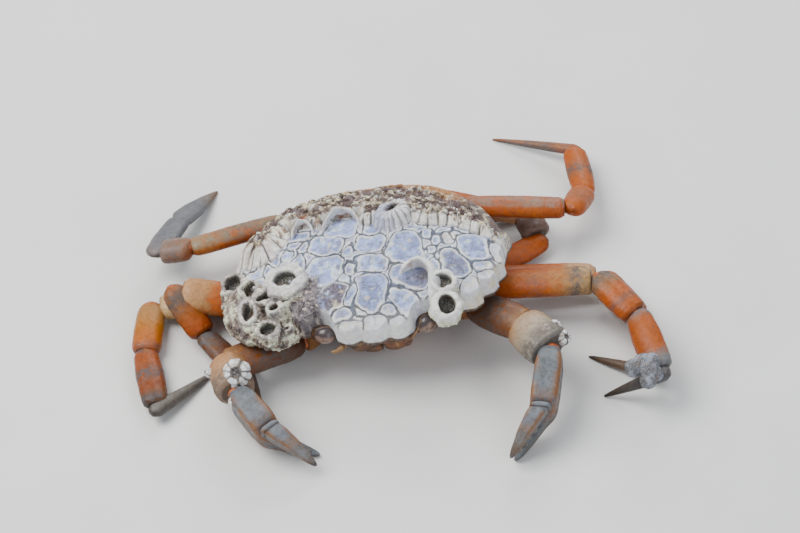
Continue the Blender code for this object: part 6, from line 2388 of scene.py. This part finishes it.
@dataclass
class Studio:
    """Floor, light and camera."""

    azimuth: float = 6.0
    elevation: float = 45.9
    roll: float = -7.0
    eye: Vector = field(default_factory=lambda: Vector((40.8, -355.5, 382.4)))

    def build(self) -> None:
        """Build the floor, the lights and the camera."""
        bm = bmesh.new()
        bmesh.ops.create_grid(bm, x_segments=8, y_segments=8, size=1.6)
        mesh = bpy.data.meshes.new("floor")
        bm.to_mesh(mesh)
        bm.free()
        floor = bpy.data.objects.new("floor", mesh)
        mesh.materials.append(Finishes.get(FloorFinish()))
        bpy.context.scene.collection.objects.link(floor)
        world = bpy.data.worlds.new("studio")
        bpy.context.scene.world = world
        world.use_nodes = True
        world.node_tree.nodes["Background"].inputs["Color"].default_value = (0.86, 0.92, 1.0, 1.0)
        world.node_tree.nodes["Background"].inputs["Strength"].default_value = 0.55
        self.lamp("key", Vector((-0.35, 0.05, 0.62)), 0.5, 7.5, (1.0, 0.98, 0.95))
        self.lamp("fill", Vector((0.55, -0.5, 0.5)), 0.7, 3.0, (0.92, 0.96, 1.0))
        self.lamp("back", Vector((0.15, 0.6, 0.45)), 0.4, 3.0, (1.0, 1.0, 1.0))
        self.camera()

    def lamp(self, name: str, spot: Vector, size: float, power: float, colour: Colour) -> None:
        """Add a soft square lamp that faces the crab.

        Args:
            name: Name of the lamp.
            spot: Its place in metres.
            size: Its width in metres.
            power: Its power in watts.
            colour: Its colour.
        """
        light = bpy.data.lights.new(name, "AREA")
        light.energy = power
        light.size = size
        light.color = colour
        lamp = bpy.data.objects.new(name, light)
        lamp.location = spot
        lamp.rotation_euler = (-spot).to_track_quat("-Z", "Y").to_euler()
        bpy.context.scene.collection.objects.link(lamp)

    def camera(self) -> None:
        """Add the camera at the photograph's angle."""
        azimuth, elevation, roll = (math.radians(value) for value in (self.azimuth, self.elevation, self.roll))
        back = Vector((math.cos(elevation) * math.sin(azimuth), -math.cos(elevation) * math.cos(azimuth),
                       math.sin(elevation)))
        flat = Vector((math.cos(azimuth), math.sin(azimuth), 0.0))
        steep = back.cross(flat)
        right = flat * math.cos(roll) + steep * math.sin(roll)
        up = -flat * math.sin(roll) + steep * math.cos(roll)
        lens = bpy.data.cameras.new("camera")
        lens.lens = 100.0
        lens.sensor_width = 36.0
        camera = bpy.data.objects.new("camera", lens)
        place = Matrix((right, up, back)).transposed().to_4x4()
        place.translation = (self.eye + SHIFT) * MM
        camera.matrix_world = place
        bpy.context.scene.collection.objects.link(camera)
        bpy.context.scene.camera = camera


def main() -> None:
    """Build the crab and its studio."""
    logging.basicConfig(level=logging.INFO, format="%(name)s: %(message)s")
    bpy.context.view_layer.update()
    form = ShellForm()
    Back(form).build()
    Barnacles(form).build()
    Head().build()
    Underside().build()
    for leg in WALKING_LEGS:
        leg.build()
    for claw in CLAWS:
        claw.build()
    Hangers().build()
    Studio().build()


if __name__ == "__main__":
    main()
